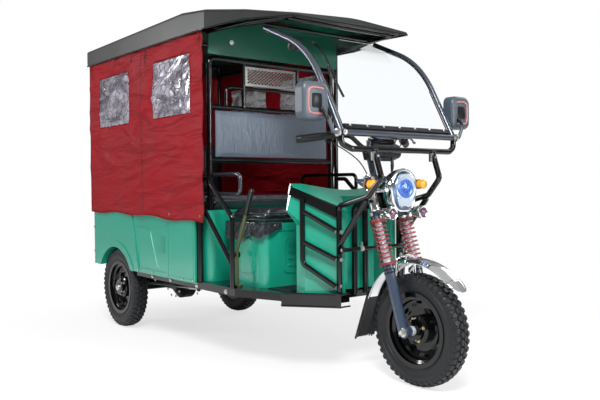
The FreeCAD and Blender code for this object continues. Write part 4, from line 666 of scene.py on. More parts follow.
def tyre_carcass():
    """The tyre's outline from the bead up its wall to the tread's floor, turned about Z."""
    half = [(0.1525, 0.0355), (0.1665, 0.0362), (0.171, 0.0375), (0.174, 0.0395), (0.1765, 0.0395),
            (0.178, 0.0415), (0.188, 0.0448), (0.199, 0.0462), (0.2, 0.0474), (0.204, 0.0474),
            (0.205, 0.0464), (0.214, 0.0458), (0.222, 0.0445), (0.232, 0.0405), (0.2375, 0.035),
            (0.2405, 0.026), (0.241, 0.012)]
    profile = [(r, -w) for r, w in half] + [(r, w) for r, w in half[::-1]]
    return lathe(profile, 96, caps=False)


def tread_block(long, wide, tall, cut):
    """A rubber block: six-sided, drafted, with a small chamfer; its underside is in the carcass."""
    a, b = long / 2, wide / 2
    flat = np.array([(-a, -b + cut), (-a * 0.45, -b), (a * 0.45, -b), (a, -b + cut), (a * 0.5, b),
                     (-a * 0.5, b)])
    middle = flat.mean(0)
    return stacked([(flat * 1.08, 0), (flat, tall * 0.8), (middle + (flat - middle) * 0.9, tall)],
                   floor=False)


print("carcass faces", len(tyre_carcass()[1]))

# %% [markdown]
# ## Laying the tread
# A block is turned round the axle, shifted across the tyre and leaned over the shoulder. The left
# and right rows are half a step apart, which is what makes the zigzag. The Geometry Nodes repeater
# then sets every block of a row at once.

# %% Tread on the three tyres
def on_tyre(centre, angle, across, radius, lean):
    """A matrix on the tread: Z points outwards, X runs round the tyre, Y across it."""
    turn = Matrix.Rotation(angle, 4, "Y")
    return (Matrix.Translation(centre) @ turn @ Matrix.Translation((0, across, radius))
            @ Matrix.Rotation(lean, 4, "X"))


# A row's name: distance from the middle, radius, lean in degrees, steps further round, its block.
TREAD_ROWS = {
    "tread": (0.0105, TYRE_RADIUS - TREAD_DEPTH - 0.0008, 0, 0, (0.029, 0.019, TREAD_DEPTH + 0.0006, 0.005)),
    "shoulder": (0.0315, 0.2385, 17, 0.5, (0.027, 0.0185, 0.0052, 0.004)),
    "side_lugs": (0.0425, 0.2275, 62, 0.5, (0.021, 0.015, 0.0022, 0.002)),
}
STEP = 2 * math.pi / BLOCKS
for wheel, (body, centre) in WHEELS.items():
    upright = Matrix.Translation(centre) @ Matrix.Rotation(-math.pi / 2, 4, "X")
    tyre = piece(wheel + "_carcass", moved(tyre_carcass(), upright), "tyre_rubber", body, crisp=28)
    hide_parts(wheel + "_tyre")
    for row, (across, radius, lean, on, size) in TREAD_ROWS.items():
        spots = []
        for i in range(BLOCKS):
            for side in (1, -1):
                angle = STEP * (i + (0.5 if side > 0 else 0)) + STEP * on
                flip = Matrix.Rotation(math.pi, 4, "Z") if side < 0 else Matrix()
                spots.append(on_tyre(centre, angle, side * across, radius, -side * math.radians(lean)) @ flip)
        repeated(wheel + "_" + row, tread_block(*size), "tyre_rubber", body, spots)
print("tread blocks", 2 * BLOCKS * len(TREAD_ROWS), "on each tyre")

# %% [markdown]
# ## Wheel centres
# The pressed steel discs come from CAD. What bolts to them is added here: a stepped hub flange,
# wheel nuts with their studs, and the ventilation slots. The slots could be cut out of the disc,
# but its mesh belongs to CAD, so each one is a thin dark oval that lies on the metal: painted shade
# where the opening would be.

# %% Hubs, nuts and slots
def disc_centre(wheel, body, centre, side, nuts, nut_finish):
    """side is +1 or -1: the way the wheel's outer face looks along Y."""
    out = facing(centre, (0, side, 0))
    flange = lathe([(0.024, -0.02), (0.062, -0.018), (0.064, 0.017), (0.058, 0.02), (0.052, 0.024),
                    (0.036, 0.026), (0.033, 0.034), (0.024, 0.037), (0.0105, 0.037)], 40, caps=False)
    piece(wheel + "_hub_flange", moved(flange, out), "gloss_black", body)
    nut_ring = 0.043
    turns = [2 * math.pi * k / nuts + 0.35 for k in range(nuts)]
    spots = [out @ Matrix.Translation((nut_ring * math.cos(a), nut_ring * math.sin(a), 0.0245))
             for a in turns]
    stud = lathe([(0.0035, 0), (0.0035, 0.017), (0.002, 0.018)], 10)
    repeated(wheel + "_nuts", joined([bolt_form(0.017, 0.011), stud]), nut_finish, body, spots)
    turns = [2 * math.pi * k / 8 + 0.2 for k in range(8)]
    # Each slot is a dark oval on the disc: painted shade standing in for the opening.
    shade_oval_spots = [out @ Matrix.Rotation(a, 4, "Z") @ Matrix.Translation((0.108, 0, 0)) for a in turns]
    oval = [(0.008 * math.cos(t), 0.015 * math.sin(t))
            for t in np.linspace(0, 2 * math.pi, 16, endpoint=False)]
    repeated(wheel + "_slots", at_place(plate(oval, 0.0035, 0.001), 0, 0, 0.0095), "hole_shade_black", body, shade_oval_spots)


for wheel, (body, centre) in WHEELS.items():
    side = 1 if wheel == "rear_left" else -1
    front = wheel == "front"
    disc_centre(wheel, body, centre, side, 4 if front else 5, "brass" if front else "zinc")
    if not front:
        out = facing(centre, (0, side, 0))
        cap = lathe([(0.022, 0.034), (0.022, 0.05), (0.019, 0.056), (0.01, 0.059), (0.001, 0.0595)], 24,
                    caps=False)
        piece(wheel + "_cap", moved(cap, out), "zinc", body)
        drum = lathe([(0.03, -0.062), (0.08, -0.058), (0.084, -0.05), (0.084, -0.02), (0.076, -0.012)], 40,
                     caps=False)
        piece(wheel + "_drum", moved(drum, out), "satin_black", body)
print("wheel centres:", ", ".join(WHEELS))

# %% [markdown]
# ## Front spacers
# A silver sleeve on each side keeps the front wheel centred between the fork's feet.

# %% Spacers on the front axle
FRONT_CENTRE = WHEELS["front"][1]
spacer = lathe([(0.0108, 0.043), (0.019, 0.043), (0.021, 0.045), (0.021, 0.058), (0.019, 0.0605),
                (0.0108, 0.0605)],
               28, caps=False)
for label, side in (("left", 1), ("right", -1)):
    piece("front_spacer_" + label, moved(spacer, facing(FRONT_CENTRE, (0, side, 0))), "light_grey",
          "front_wheel")
print("two spacers")

# %% [markdown]
# ## How the curtains fold
# A curtain hangs from the roof's edge as one sheet. A simulation could drape it, but its folds
# would fall where they like. Here one rule bends a fine grid: a few diagonal pulls from the ties,
# small gathers along top and foot, and a soft belly.

# %% The folds' rule
CURTAIN_FACE = 0.5005
CURTAIN_TOP = 1.698
CURTAIN_LOW = 0.722
CURTAIN_TALL = CURTAIN_TOP - CURTAIN_LOW
WINDOW_LOW, WINDOW_TOP = 1.265, 1.575


def smooth(t):
    t = min(max(t, 0.0), 1.0)
    return t * t * (3 - 2 * t)


def bump_at(t, centre, width):
    return math.exp(-((t - centre) / width) ** 2)


def pull_folds(x, z, start, span, seed):
    """How far the cloth stands off its flat place, in metres, at a point of a curtain."""
    u = (x - start) / span
    v = (z - CURTAIN_LOW) / CURTAIN_TALL
    rng = random.Random(seed)
    out = 0.0
    for k in range(15):
        tilt = rng.uniform(0.35, 0.95)
        centre = rng.uniform(0.05, 1.9)
        width = rng.uniform(0.014, 0.036)
        tall = rng.uniform(0.005, 0.0105)
        near = rng.uniform(0.1, 0.9)
        ridge = abs(u * tilt + (1 - v) - centre) / width
        crease = 0.5 * math.exp(-ridge * ridge) + 0.5 * math.exp(-1.6 * ridge)
        out += tall * crease * (0.25 + 0.75 * bump_at(u, near, 0.38))
    out += 0.0016 * math.sin(u * 47 + 3 * math.sin(v * 5 + seed)) * smooth((v - 0.78) * 4)
    out += 0.0022 * math.sin(u * 31 + seed + 2.2 * v) * smooth((0.22 - v) * 4)
    out += 0.004 * math.sin(math.pi * min(max(v, 0), 1)) * (1 + math.sin(2.4 * math.pi * u + seed))
    return out * smooth((1.0 - v) * 9 + 0.05) * (1 - 0.3 * bump_at(v, 1, 0.06))


print("the right curtain's middle stands off", round(1000 * pull_folds(-0.6, 1.2, -1.34, 1.458, 3), 1), "mm")

# %% [markdown]
# ## Grid lines, welts and film
# The grid needs a line on every edge of a window, so that openings are cut straight, and a thin
# welt runs round each opening on those lines. The clear film behind it is a sheet of its own on a
# finer grid: it follows the cloth's folds and adds the small creases of rolled vinyl.

# %% Parts of a curtain
def even(start, end, step):
    """Numbers from start to end, about a step apart."""
    return list(np.linspace(start, end, max(2, round(abs(end - start) / step) + 1)))


def through(marks, step):
    """Even numbers through a list of marks, so that a grid has lines on each of them."""
    out = [marks[0]]
    for a, b in zip(marks, marks[1:]):
        out += even(a, b, step)[1:]
    return out


def window_welt(a, b, xs, zs, place):
    """A thin round welt along a window's four edges, on the cloth's grid lines."""
    near = 1e-6
    loop = [place(x, WINDOW_LOW, 0.001) for x in xs if a - near <= x <= b + near]
    loop += [place(b, z, 0.001) for z in zs if WINDOW_LOW < z <= WINDOW_TOP + near]
    loop += [place(x, WINDOW_TOP, 0.001) for x in xs[::-1] if a - near <= x < b - near]
    loop += [place(a, z, 0.001) for z in zs[::-1] if WINDOW_LOW - near <= z < WINDOW_TOP - near]
    return tube(loop, 0.0011, 4)


def side_film(name, number, a, b, place, sign, seed):
    """The clear window number of a side curtain, from a to b along X."""
    rng = random.Random(seed * 10 + number)
    creases = [(rng.uniform(-3, 3), rng.uniform(20, 60), rng.uniform(0, 6), rng.uniform(0.3, 1))
               for _ in range(7)]

    def crinkled(x, z):
        point = place(x, z)
        inside = smooth(min(x - a, b - x, z - WINDOW_LOW, WINDOW_TOP - z) / 0.03)
        lift = sum(w * abs(math.sin(x * f + z * f * t * 0.4 + p)) for t, f, p, w in creases) / len(creases)
        return (point[0], point[1] + sign * (lift - 0.35) * 0.0042 * inside, point[2])

    form = grid(through([a, b], 0.006), through([WINDOW_LOW, WINDOW_TOP], 0.006), crinkled)
    film = piece("%s_film_%d" % (name, number), form, "clear_film", crisp=25, wall=0.0006)
    return film


print("window lines:", len(through([-0.74, -0.42], 0.0125)), "between two windows")

# %% [markdown]
# ## The side curtains
# Each side curtain reaches from the rear corner to the driver's post, with two windows, a sewn seam
# and bound edges. Its lower edge hangs deeper towards the front, as in the photograph. The cloth is
# a sheet 1.2 mm thick; seam, edges and hem are thin cords on it.

# %% Side curtains
def side_curtain(name, sign, start, end, windows, seam_x, seed, drop):
    """Cloth, seam, hem, welts and film windows of one side curtain. Gives the films."""
    span = end - start
    xs = through(sorted([start] + [x for pair in windows for x in pair] + [end]), 0.0125)
    zs = through([CURTAIN_LOW, WINDOW_LOW, WINDOW_TOP, CURTAIN_TOP], 0.0125)

    def place(x, z, off=0.0):
        u = (x - start) / span
        low = smooth((CURTAIN_LOW + 0.25 - z) / 0.25)
        sag = low * (0.006 * math.sin(u * 19 + seed) - drop * smooth((u - 0.35) * 1.6))
        wave = 0.004 * math.sin(z * 23 + seed) * smooth((u - 0.97) * 30)
        wave += 0.004 * math.sin(z * 17) * smooth((0.03 - u) * 30)
        stand = pull_folds(x, z, start, span, seed)
        return (x + wave, sign * (CURTAIN_FACE + stand + off), z + sag)

    def is_cloth(x, z):
        return not any(a < x < b and WINDOW_LOW < z < WINDOW_TOP for a, b in windows)

    cloth = piece("hung_" + name, grid(xs, zs, place, is_cloth), "red_cloth", crisp=60, wall=0.0012)
    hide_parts(name)
    strips = [tube([place(x, z, 0.0012) for z in zs], wire, 5)
              for x, wire in ((seam_x, 0.0013), (start + 0.006, 0.0016), (end - 0.006, 0.0016))]
    seam = piece(name + "_seam", joined(strips), "seam_dark", crisp=80)
    foot = tube([place(x, CURTAIN_LOW + 0.001, 0.0008) for x in xs], 0.0024, 6)
    hem = piece(name + "_hem", foot, "red_cloth", crisp=80)
    welts = joined([window_welt(a, b, xs, zs, place) for a, b in windows])
    edge = piece(name + "_window_edges", welts, "red_cloth", crisp=80)
    return [side_film(name, k, a, b, place, sign, seed) for k, (a, b) in enumerate(windows)]


FILMS = side_curtain("curtain_right", -1, -1.340, 0.118, ((-1.180, -0.740), (-0.420, -0.005)), -0.575, 3,
                     0.02)
FILMS += side_curtain("curtain_left", 1, -1.340, -0.037, ((-1.180, -0.740), (-0.580, -0.165)), -0.660, 8,
                      0.012)
print(len(FILMS), "film windows on the sides")

# %% [markdown]
# ## The rear curtain
# One more curtain with a single wide window closes the back. The photograph doesn't show it, so it
# repeats the side curtains' cloth, folds and film. The folds die away towards both edges, where the
# cloth is tied to the corner posts.

# %% Rear curtain
REAR_HALF, REAR_WINDOW = 0.4975, 0.3


def rear_place(y, z, off=0.0):
    stand = pull_folds(y, z, -REAR_HALF, 2 * REAR_HALF, 5) * smooth((REAR_HALF - abs(y)) * 12)
    return (-1.3567 - max(stand, 0) * 0.6 - off, y, z)


def rear_crinkled(y, z):
    x, y, z = rear_place(y, z)
    inside = smooth(min(REAR_WINDOW - abs(y), z - WINDOW_LOW, WINDOW_TOP - z) / 0.03)
    first, second = abs(math.sin(y * 37 + z * 21)) * 0.002, abs(math.sin(y * 19 - z * 43)) * 0.0015
    return (x - first * inside - second * inside, y, z)


def rear_cloth(y, z):
    return not (abs(y) < REAR_WINDOW and WINDOW_LOW < z < WINDOW_TOP)


ys = through([-REAR_HALF, -REAR_WINDOW, REAR_WINDOW, REAR_HALF], 0.0125)
zs = through([CURTAIN_LOW, WINDOW_LOW, WINDOW_TOP, CURTAIN_TOP], 0.0125)
cloth = piece("hung_curtain_rear", grid(ys, zs, rear_place, rear_cloth), "red_cloth", crisp=60, wall=0.0012)
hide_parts("curtain_rear")
strips = [tube([rear_place(y, z, 0.001) for z in zs], 0.0013, 5)
          for y in (-REAR_WINDOW - 0.05, REAR_WINDOW + 0.05)]
seams = piece("curtain_rear_seams", joined(strips), "seam_dark", crisp=80)
form = grid(through([-REAR_WINDOW, REAR_WINDOW], 0.008), through([WINDOW_LOW, WINDOW_TOP], 0.008),
            rear_crinkled)
film = piece("curtain_rear_film", form, "clear_film", crisp=25, wall=0.0006)
FILMS.append(film)
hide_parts("curtain_windows")

# %% [markdown]
# ## Ties and eyelets
# Short ties hold the rolled-up cloth, and brass eyelets along the foot take the panels' hooks. A
# tie is two bent wires; the eyelet is a flat turned ring that the repeater sets along the hem.

# %% Ties and fasteners
ties, eyelets = [], []
for sign in (-1, 1):
    front = 0.105 if sign < 0 else -0.05
    for x, z in ((-1.30, 1.665), (-0.70, 1.64), (-0.52, 1.64), (front - 0.02, 1.645)):
        strap = smooth_path([(x, sign * 0.5045, z + 0.03), (x + 0.004, sign * 0.5085, z),
                             (x - 0.003, sign * 0.506, z - 0.045), (x + 0.003, sign * 0.507, z - 0.075)])
        loop = smooth_path([(x - 0.012, sign * 0.5055, z - 0.012), (x, sign * 0.5095, z - 0.002),
                            (x + 0.013, sign * 0.5055, z - 0.014)])
        ties += [tube(strap, 0.0016, 5), tube(loop, 0.0026, 6)]
    for x in (-1.315, -0.58, front - 0.35, front - 0.02):
        eyelets.append(facing((x, sign * 0.505, CURTAIN_LOW + 0.012), (0, sign, 0)))
piece("curtain_ties", joined(ties), "seam_dark", crisp=60)
eyelet = lathe([(0.003, 0), (0.0062, 0.0005), (0.0062, 0.0014), (0.003, 0.0018)], 14, caps=False)
repeated("curtain_eyelets", eyelet, "brass", "root", eyelets)
print(len(ties) // 2, "ties and", len(eyelets), "eyelets")

# %% [markdown]
# ## Foam that swells
# A foam cushion swells against its vinyl cover. A box could be sculpted by hand, but a short cloth
# simulation with pressure finds that shape by itself. The box is first remeshed into even little
# squares, and afterwards no point may be further from its start than a set reach, so that the
# cushion keeps to its room.

# %% Foam block and pressure
def points_of(obj):
    return np.array([v.co for v in obj.data.vertices])


def foam_block(low, high, round_by, voxel):
    """A rounded box between two corners, remeshed into even squares."""
    size = [b - a for a, b in zip(low, high)]
    middle = [(a + b) / 2 for a, b in zip(low, high)]
    obj = placed("foam", mesh_of("foam", at_place(block(size, round_by, 4), *middle)))
    remesh = obj.modifiers.new("even", "REMESH")
    remesh.mode = "VOXEL"
    remesh.voxel_size = voxel
    return applied(obj)


def swollen(obj, pressure, reach, pins=None):
    """Blow the mesh up with Cloth for 20 frames, then keep every point within reach of its start."""
    start = points_of(obj)
    cloth = obj.modifiers.new("cloth", "CLOTH")
    settings = cloth.settings
    settings.use_pressure = True
    settings.uniform_pressure_force = pressure
    settings.effector_weights.gravity = 0
    settings.tension_stiffness = 12
    settings.compression_stiffness = 12
    settings.bending_stiffness = 0.6
    settings.mass = 0.2
    settings.quality = 5
    if pins is not None:
        group = obj.vertex_groups.new(name="held")
        group.add([int(i) for i in np.nonzero(pins(start))[0]], 1.0, "REPLACE")
        settings.vertex_group_mass = "held"
    cloth.point_cache.frame_start = 1
    cloth.point_cache.frame_end = 20
    for frame_number in range(1, 21):
        bpy.context.scene.frame_set(frame_number)
    applied(obj)
    move = points_of(obj) - start
    far = np.linalg.norm(move, axis=1, keepdims=True)
    now = start + move * np.minimum(1, reach / np.maximum(far, 1e-9))
    obj.data.vertices.foreach_set("co", now.ravel())
    bpy.context.scene.frame_set(1)
    return obj


def upholstered(obj, name, co, finish, node):
    """The last steps of every padded piece: its points, its cover, one subdivision, its place."""
    obj.name = name
    obj.data.vertices.foreach_set("co", co.ravel())
    obj.data.materials.clear()
    obj.data.materials.append(MATERIALS[finish])
    obj.data.shade_smooth()
    soft = obj.modifiers.new("soft", "SUBSURF")
    soft.levels = soft.render_levels = 1
    applied(obj)
    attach(obj, "root")
    if node:
        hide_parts(node)
    print(name, "has", len(obj.data.vertices), "points")


print("cloth simulation", "on")

# %% [markdown]
# ## Seats
# The driver's seat is one cushion, the bench behind it is two rolls, as the photograph shows, and
# the rear bench is guessed as a longer cushion. Sewn channels come after the swelling, because
# remeshing would swallow them: near each channel the top is pressed in.

# %% Seat cushions
def cushion(name, low, high, node=None, voxel=0.009, channels=(), round_by=0.022):
    """A swollen cushion inside the space low to high; a channel is (axis, place, width, depth)."""
    inset, reach = 0.008, 0.012
    a = [v + inset for v in low]
    b = [v - inset for v in high]
    a[2] = low[2] + 0.001
    obj = swollen(foam_block(a, b, round_by, voxel), 4, reach, lambda p: p[:, 2] < a[2] + voxel * 0.8)
    co = points_of(obj)
    for axis, at, width, deep in channels:
        top = co[:, 2] > (low[2] + high[2]) / 2
        near = np.exp(-((co[:, axis] - at) / width) ** 2)
        co[:, 2] -= near * deep * top
    co = np.clip(co, np.array(low) - 0.004, np.array(high) + 0.004)
    co[:, 2] = np.maximum(co[:, 2], low[2] + 0.0004)
    upholstered(obj, name, co, "black_vinyl", node)


box = {n: [list(c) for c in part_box(n)] for n in ("cushion_driver", "cushion_middle", "cushion_rear",
                                                 "backrest_rear", "partition_panel")}
cushion("driver_seat", *box["cushion_driver"], "cushion_driver",
        channels=((0, 0.135, 0.012, 0.006), (1, -0.33, 0.01, 0.005), (1, 0.33, 0.01, 0.005)))
low, high = box["cushion_middle"]
middle_x = (low[0] + high[0]) / 2
cushion("bench_roll_front", [middle_x + 0.002, low[1], low[2]], high, "cushion_middle", round_by=0.03)
cushion("bench_roll_rear", low, [middle_x - 0.002, high[1], high[2]], round_by=0.03)
low, high = box["cushion_rear"]
cushion("rear_bench", low, high, "cushion_rear", voxel=0.011,
        channels=((1, -0.15, 0.01, 0.007), (1, 0.15, 0.01, 0.007), (0, low[0] + 0.1, 0.01, 0.005)))

# %% [markdown]
# ## Backrest and partition pad
# The rear backrest is the same foam, stood on its edge, with two upright channels. The grey pad
# behind the driver is thin and stretched, with a sewn line near each edge. Both swell to the front
# and to the back, so the channels press in on both faces.

# %% Backrest and pad
def stood(name, node, finish, inset, reach, voxel, channels):
    """An upright pad; a channel is (y, z, (width along Y, width along Z), depth)."""
    low, high = box[node]
    a = [v + inset for v in low]
    b = [v - inset for v in high]
    obj = swollen(foam_block(a, b, min((high[0] - low[0]) * 0.3, 0.024), voxel), 4, reach)
    co = points_of(obj)
    sides = np.sign(co[:, 0] - (low[0] + high[0]) / 2)
    for y, z, width, deep in channels:
        near = np.exp(-(((co[:, 1] - y) / width[0]) ** 2 + ((co[:, 2] - z) / width[1]) ** 2))
        co[:, 0] -= sides * near * deep
    co = np.clip(co, np.array(low) - 0.003, np.array(high) + 0.003)
    upholstered(obj, name, co, finish, node)


upright = [(y, 1.0, (0.012, 9), 0.01) for y in (-0.15, 0.15)]
stood("rear_backrest", "backrest_rear", "black_vinyl", 0.006, 0.01, 0.011, upright)
border = [(0, z, (9, 0.006), 0.0018) for z in (1.05, 1.27)]
border += [(y, 1.16, (0.006, 9), 0.0018) for y in (-0.368, 0.368)]
stood("partition_pad", "partition_panel", "grey_vinyl", 0.001, 0.003, 0.005, border)

# %% [markdown]
# ## The seat cover's loose edge
# The driver's seat cover hangs over the green box, crumpled and uneven, along the right side and
# just round the front corner. It is a strip of cloth along a rounded line; waves along it and a
# crush across it make it look used.

# %% Seat skirt
def around(places, step):
    """Points a step apart along a line of corners, each with its distance from the start."""
    out, gone = [], 0.0
    for a, b in zip(places, places[1:]):
        a, b = Vector(a), Vector(b)
        count = max(1, round((b - a).length / step))
        out += [(gone + (b - a).length * k / count, a + (b - a) * k / count) for k in range(count)]
        gone += (b - a).length
    return out + [(gone, Vector(places[-1]))]


half, rear, front, corner = 0.3665, 0.118, 0.4445, 0.04
top, drop, turn_in = 0.7085, 0.08, 0.11
line = around(smooth_path([(rear, -half, 0), (front - corner, -half, 0), (front, -half, 0),
                           (front, -half + corner, 0), (front, -half + turn_in, 0)], 5), 0.006)
long = line[-1][0]


def hang(u, v):
    """A point of the loose edge: u counts along the line, v runs from its top to its foot."""
    t, at = line[int(u)]
    across = at - Vector(((rear + front) / 2, 0, 0))
    along_side = abs(at.y) > half - 0.03
    out = Vector((across.x * 0.2 if along_side else 1, across.y if along_side else 0, 0)).normalized()
    wave = 0.0032 * math.sin(t * 61 + 2 * math.sin(t * 13)) + 0.0026 * math.sin(t * 23 + 1)
    crush = 0.0028 * math.sin(t * 140 + v * 7) * bump_at(v, 0.35, 0.3)
    stand = 0.0045 + (wave + 0.0045) * v + crush
    uneven = 1 + 0.16 * math.sin(t * 17) + 0.1 * math.sin(t * 41 + 2)
    low = drop * uneven * (1 - 0.75 * max(0, 1 - (long - t) / turn_in))
    return at + out * stand + Vector((0, 0, top - low * v))


skirt = piece("seat_skirt", grid(range(len(line)), even(0, 1, 0.06), hang), "black_vinyl", crisp=80,
              wall=0.0014)
hem = piece("seat_skirt_hem", tube([hang(u, 1) for u in range(len(line))], 0.0016, 6), "black_vinyl",
            crisp=80)
print("loose edge", round(long * 1000), "mm long")

# %% [markdown]
# ## Piping
# Two cords of piping run round the driver's seat, along its top edge and its foot. They are tubes
# laid after the swelling, because a voxel remesh would have melted them into the foam.

# %% Piping on the driver's seat
low, high = box["cushion_driver"]
edges = []
for z in (high[2] - 0.017, low[2] + 0.018):
    r, x1, x2, y = 0.03, low[0] + 0.009, high[0] - 0.0065, high[1] - 0.0065
    loop = smooth_path([(x1 + r, -y, z), (x2 - r, -y, z), (x2, -y, z), (x2, -y + r, z), (x2, y - r, z),
                        (x2, y, z), (x2 - r, y, z), (x1 + r, y, z)], 6)
    edges.append(tube(loop, 0.0034, 8))
piece("driver_seat_piping", joined(edges), "black_vinyl", crisp=80)
print(len(edges), "cords of piping")

# %% [markdown]
# ## The fork's own frame
# The fork leans back by 18 degrees. What is on it is drawn upright, in the fork's own frame with Z
# up the steering axis, and one matrix, HEAD, carries it into place. It all rides on the body called
# steering. Three more makers are needed: a ring, an outline with rounded corners, and a shell
# through scaled copies of one.

# %% Fork frame, ring, outline and shell
RAKE = math.radians(18)
HEAD = Matrix.Translation((0.857, 0, 0.85)) @ Matrix.Rotation(-RAKE, 4, "Y")
LEG_X, LEG_Y = 0.045, 0.088
SIDES = (1, -1)


def on_head(name, form, finish, crisp=35):
    return piece(name, moved(form, HEAD), finish, "steering", crisp)


def ring(radius, wire, place, up, steps=36, sides=8):
    """A torus about a direction."""
    path = [(radius * math.cos(a), radius * math.sin(a), 0) for a in np.linspace(0, 2 * math.pi, steps + 1)]
    return moved(tube(path, wire, sides, caps=False), facing(place, up))


def outline(corners, steps=7):
    """A polygon whose corners (x, y, radius) are rounded."""
    out = []
    for i, (x, y, r) in enumerate(corners):
        here = Vector((x, y))
        back = (Vector(corners[i - 1][:2]) - here).normalized()
        ahead = (Vector(corners[(i + 1) % len(corners)][:2]) - here).normalized()
        half = back.angle(ahead) / 2
        centre = here + (back + ahead).normalized() * r / math.sin(half)
        first, last = here + back * r / math.tan(half) - centre, here + ahead * r / math.tan(half) - centre
        for k in range(steps + 1):
            t = k / steps
            arm = (first * (1 - t) + last * t).normalized() * r
            out.append(tuple(centre + arm))
    return out


def shell(flat, rings):
    """A closed form through scaled copies of an outline: rings are (scale, height) pairs."""
    flat = np.array(flat)
    middle = (flat.max(0) + flat.min(0)) / 2
    return stacked([(middle + (flat - middle) * scale, height) for scale, height in rings])


print("steering axis leans", [round(v, 3) for v in HEAD.to_3x3() @ Vector((0, 0, 1))])

# %% [markdown]
# ## Springs and sleeves
# Each leg is a telescope: a pale inner tube inside a red coil spring, chromed covers above and
# rubber seals below. The coil is a tube along a helix between two ribbed cups. It replaces the CAD
# springs, which are plain sleeves. Every form is drawn once, about its own leg.

# %% Springs, sleeves, seals and fins
SPRING_LOW, SPRING_TOP = -0.3372, -0.1648
TURNS = 8.6
whole = 2 * math.pi * TURNS
coil_path = [(0.031 * math.cos(a), 0.031 * math.sin(a), SPRING_LOW + (SPRING_TOP - SPRING_LOW) * a / whole)
             for a in np.linspace(0, whole, 190)]
covers = [lathe([(0.0205, -0.144), (0.0235, -0.141), (0.0235, -0.129), (0.0205, -0.1265)], 32),
          lathe([(0.0212, -0.1035), (0.0232, -0.099), (0.0232, 0.03), (0.0212, 0.0335)], 32)]
seals = [lathe([(0.0235, z - 0.004), (0.0262, z - 0.0025), (0.0262, z + 0.0025), (0.0235, z + 0.004)], 32)
         for z in (-0.372, -0.386)]
fins = [ring(0.0372, 0.0016, (0, 0, level + k * 0.0033), (0, 0, 1)) for level in (-0.3505, -0.1515)
        for k in range(3)]
inner = lathe([(0.0175, -0.3412), (0.0175, -0.262), (0.0165, -0.258), (0.0165, -0.1608)], 32)
flange = lathe([(0.024, -0.1495), (0.0375, -0.1495), (0.0385, -0.147), (0.03, -0.1435), (0.022, -0.1435)], 36)


def on_legs(name, forms, finish, crisp=35):
    """The forms on both fork legs, as one piece."""
    both = [at_place(form, LEG_X, side * LEG_Y, 0) for side in SIDES for form in forms]
    return on_head(name, joined(both), finish, crisp)


springs = on_legs("fork_spring_coils", [tube(coil_path, 0.0043, 10)], "spring_red", crisp=60)
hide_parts("fork_springs")
on_legs("fork_inner_tubes", [inner], "pale_tube")
on_legs("fork_covers", covers, "chrome")
on_legs("fork_seals", seals, "satin_black")
on_legs("fork_cream_flanges", [flange], "cream_metal")
on_legs("spring_cup_fins", fins, "spring_red", crisp=60)
print("springs of", TURNS, "turns")

# %% [markdown]
# ## Fasteners on the fork
# The front axle ends in a washer, a large nut and the axle's tip. Bolts close the fork's two
# clamps, and a round cap with an eight-sided nut covers the steering head's bearing. The bolts are
# one form, repeated eight times.

# %% Axle nuts, clamp bolts and caps
axle = HEAD.inverted() @ FRONT_CENTRE
nut = joined([lathe([(0.019, 0), (0.019, 0.0025)], 28), at_place(bolt_form(0.028, 0.012), 0, 0, 0.0025),
              lathe([(0.009, 0.012), (0.009, 0.021), (0.0075, 0.0225)], 20)])
ends = [moved(nut, facing((axle.x, side * 0.103, axle.z), (0, side, 0))) for side in SIDES]
on_head("front_axle_nuts", joined(ends), "zinc")
spots = []
for side in SIDES:
    for level in (0.045, -0.115):
        spots.append(HEAD @ facing((LEG_X + 0.0302, side * LEG_Y, level), (1, 0, 0)))
        spots.append(HEAD @ facing((LEG_X, side * (LEG_Y + 0.0302), level), (0, side, 0)))
repeated("clamp_bolts", bolt_form(0.015, 0.008), "zinc", "steering", spots)
cap = joined([lathe([(0.034, 0.0562), (0.034, 0.062), (0.03, 0.066), (0.0165, 0.066)], 40),
              lathe([(0.027, 0.066), (0.027, 0.0745), (0.025, 0.077), (0.0165, 0.077)], 8)])
on_head("head_cap", cap, "satin_black")
leg_cap = lathe([(0.017, 0.0562), (0.0185, 0.06), (0.0175, 0.067), (0.011, 0.07), (0.0, 0.0705)], 24,
                caps=False)
on_legs("leg_caps", [leg_cap], "chrome")
print(len(spots), "clamp bolts")

# %% [markdown]
# ## Headlamp
# The chromed, egg-shaped bowl and its clear dome come from CAD. Between them sit a bezel, a bluish
# back plate, a chromed reflector and the round blue projector. Each is a shell or a turned form,
# drawn flat and carried onto the bowl's face.

# %% Headlamp
def egg(scale, steps=9):
    """The headlamp's outline: narrower at its foot."""
    wide = tall = 0.096 * scale
    foot = wide * 0.62
    return outline([(-foot, -tall, foot * 0.85), (foot, -tall, foot * 0.85), (wide, tall, wide * 0.8),
                    (-wide, tall, wide * 0.8)], steps)


FACE = (Matrix.Translation((1.0203, 0, 0.862))
        @ Matrix(((0, 0, 1, 0), (1, 0, 0, 0), (0, 1, 0, 0), (0, 0, 0, 1))))
rim_path = [(x, y, 0) for x, y in egg(0.94)]
bezel = tube(rim_path + rim_path[:1], 0.0075, 12, caps=False)
piece("headlamp_bezel", moved(bezel, FACE), "chrome", "steering", crisp=60)
back = shell(egg(0.9), [(1, 0.0002), (1, 0.0022), (0.96, 0.003)])
piece("headlamp_back", moved(back, FACE), "lamp_back", "steering")
bright = [(1, 0.003), (1, 0.006), (0.9, 0.007)]
low_part = outline([(-0.03, -0.078, 0.02), (0.03, -0.078, 0.02), (0.05, -0.02, 0.02), (-0.05, -0.02, 0.02)])
high_part = outline([(-0.06, 0.034, 0.008), (0.06, 0.034, 0.008), (0.05, 0.068, 0.02), (-0.05, 0.068, 0.02)])
surround = lathe([(0.054, 0), (0.055, 0.005), (0.052, 0.006), (0.044, 0.0042), (0.042, 0.003)], 44)
reflector = joined([at_place(surround, 0, 0.006, 0.003), shell(low_part, bright), shell(high_part, bright)])
piece("headlamp_reflector", moved(reflector, FACE), "chrome", "steering")
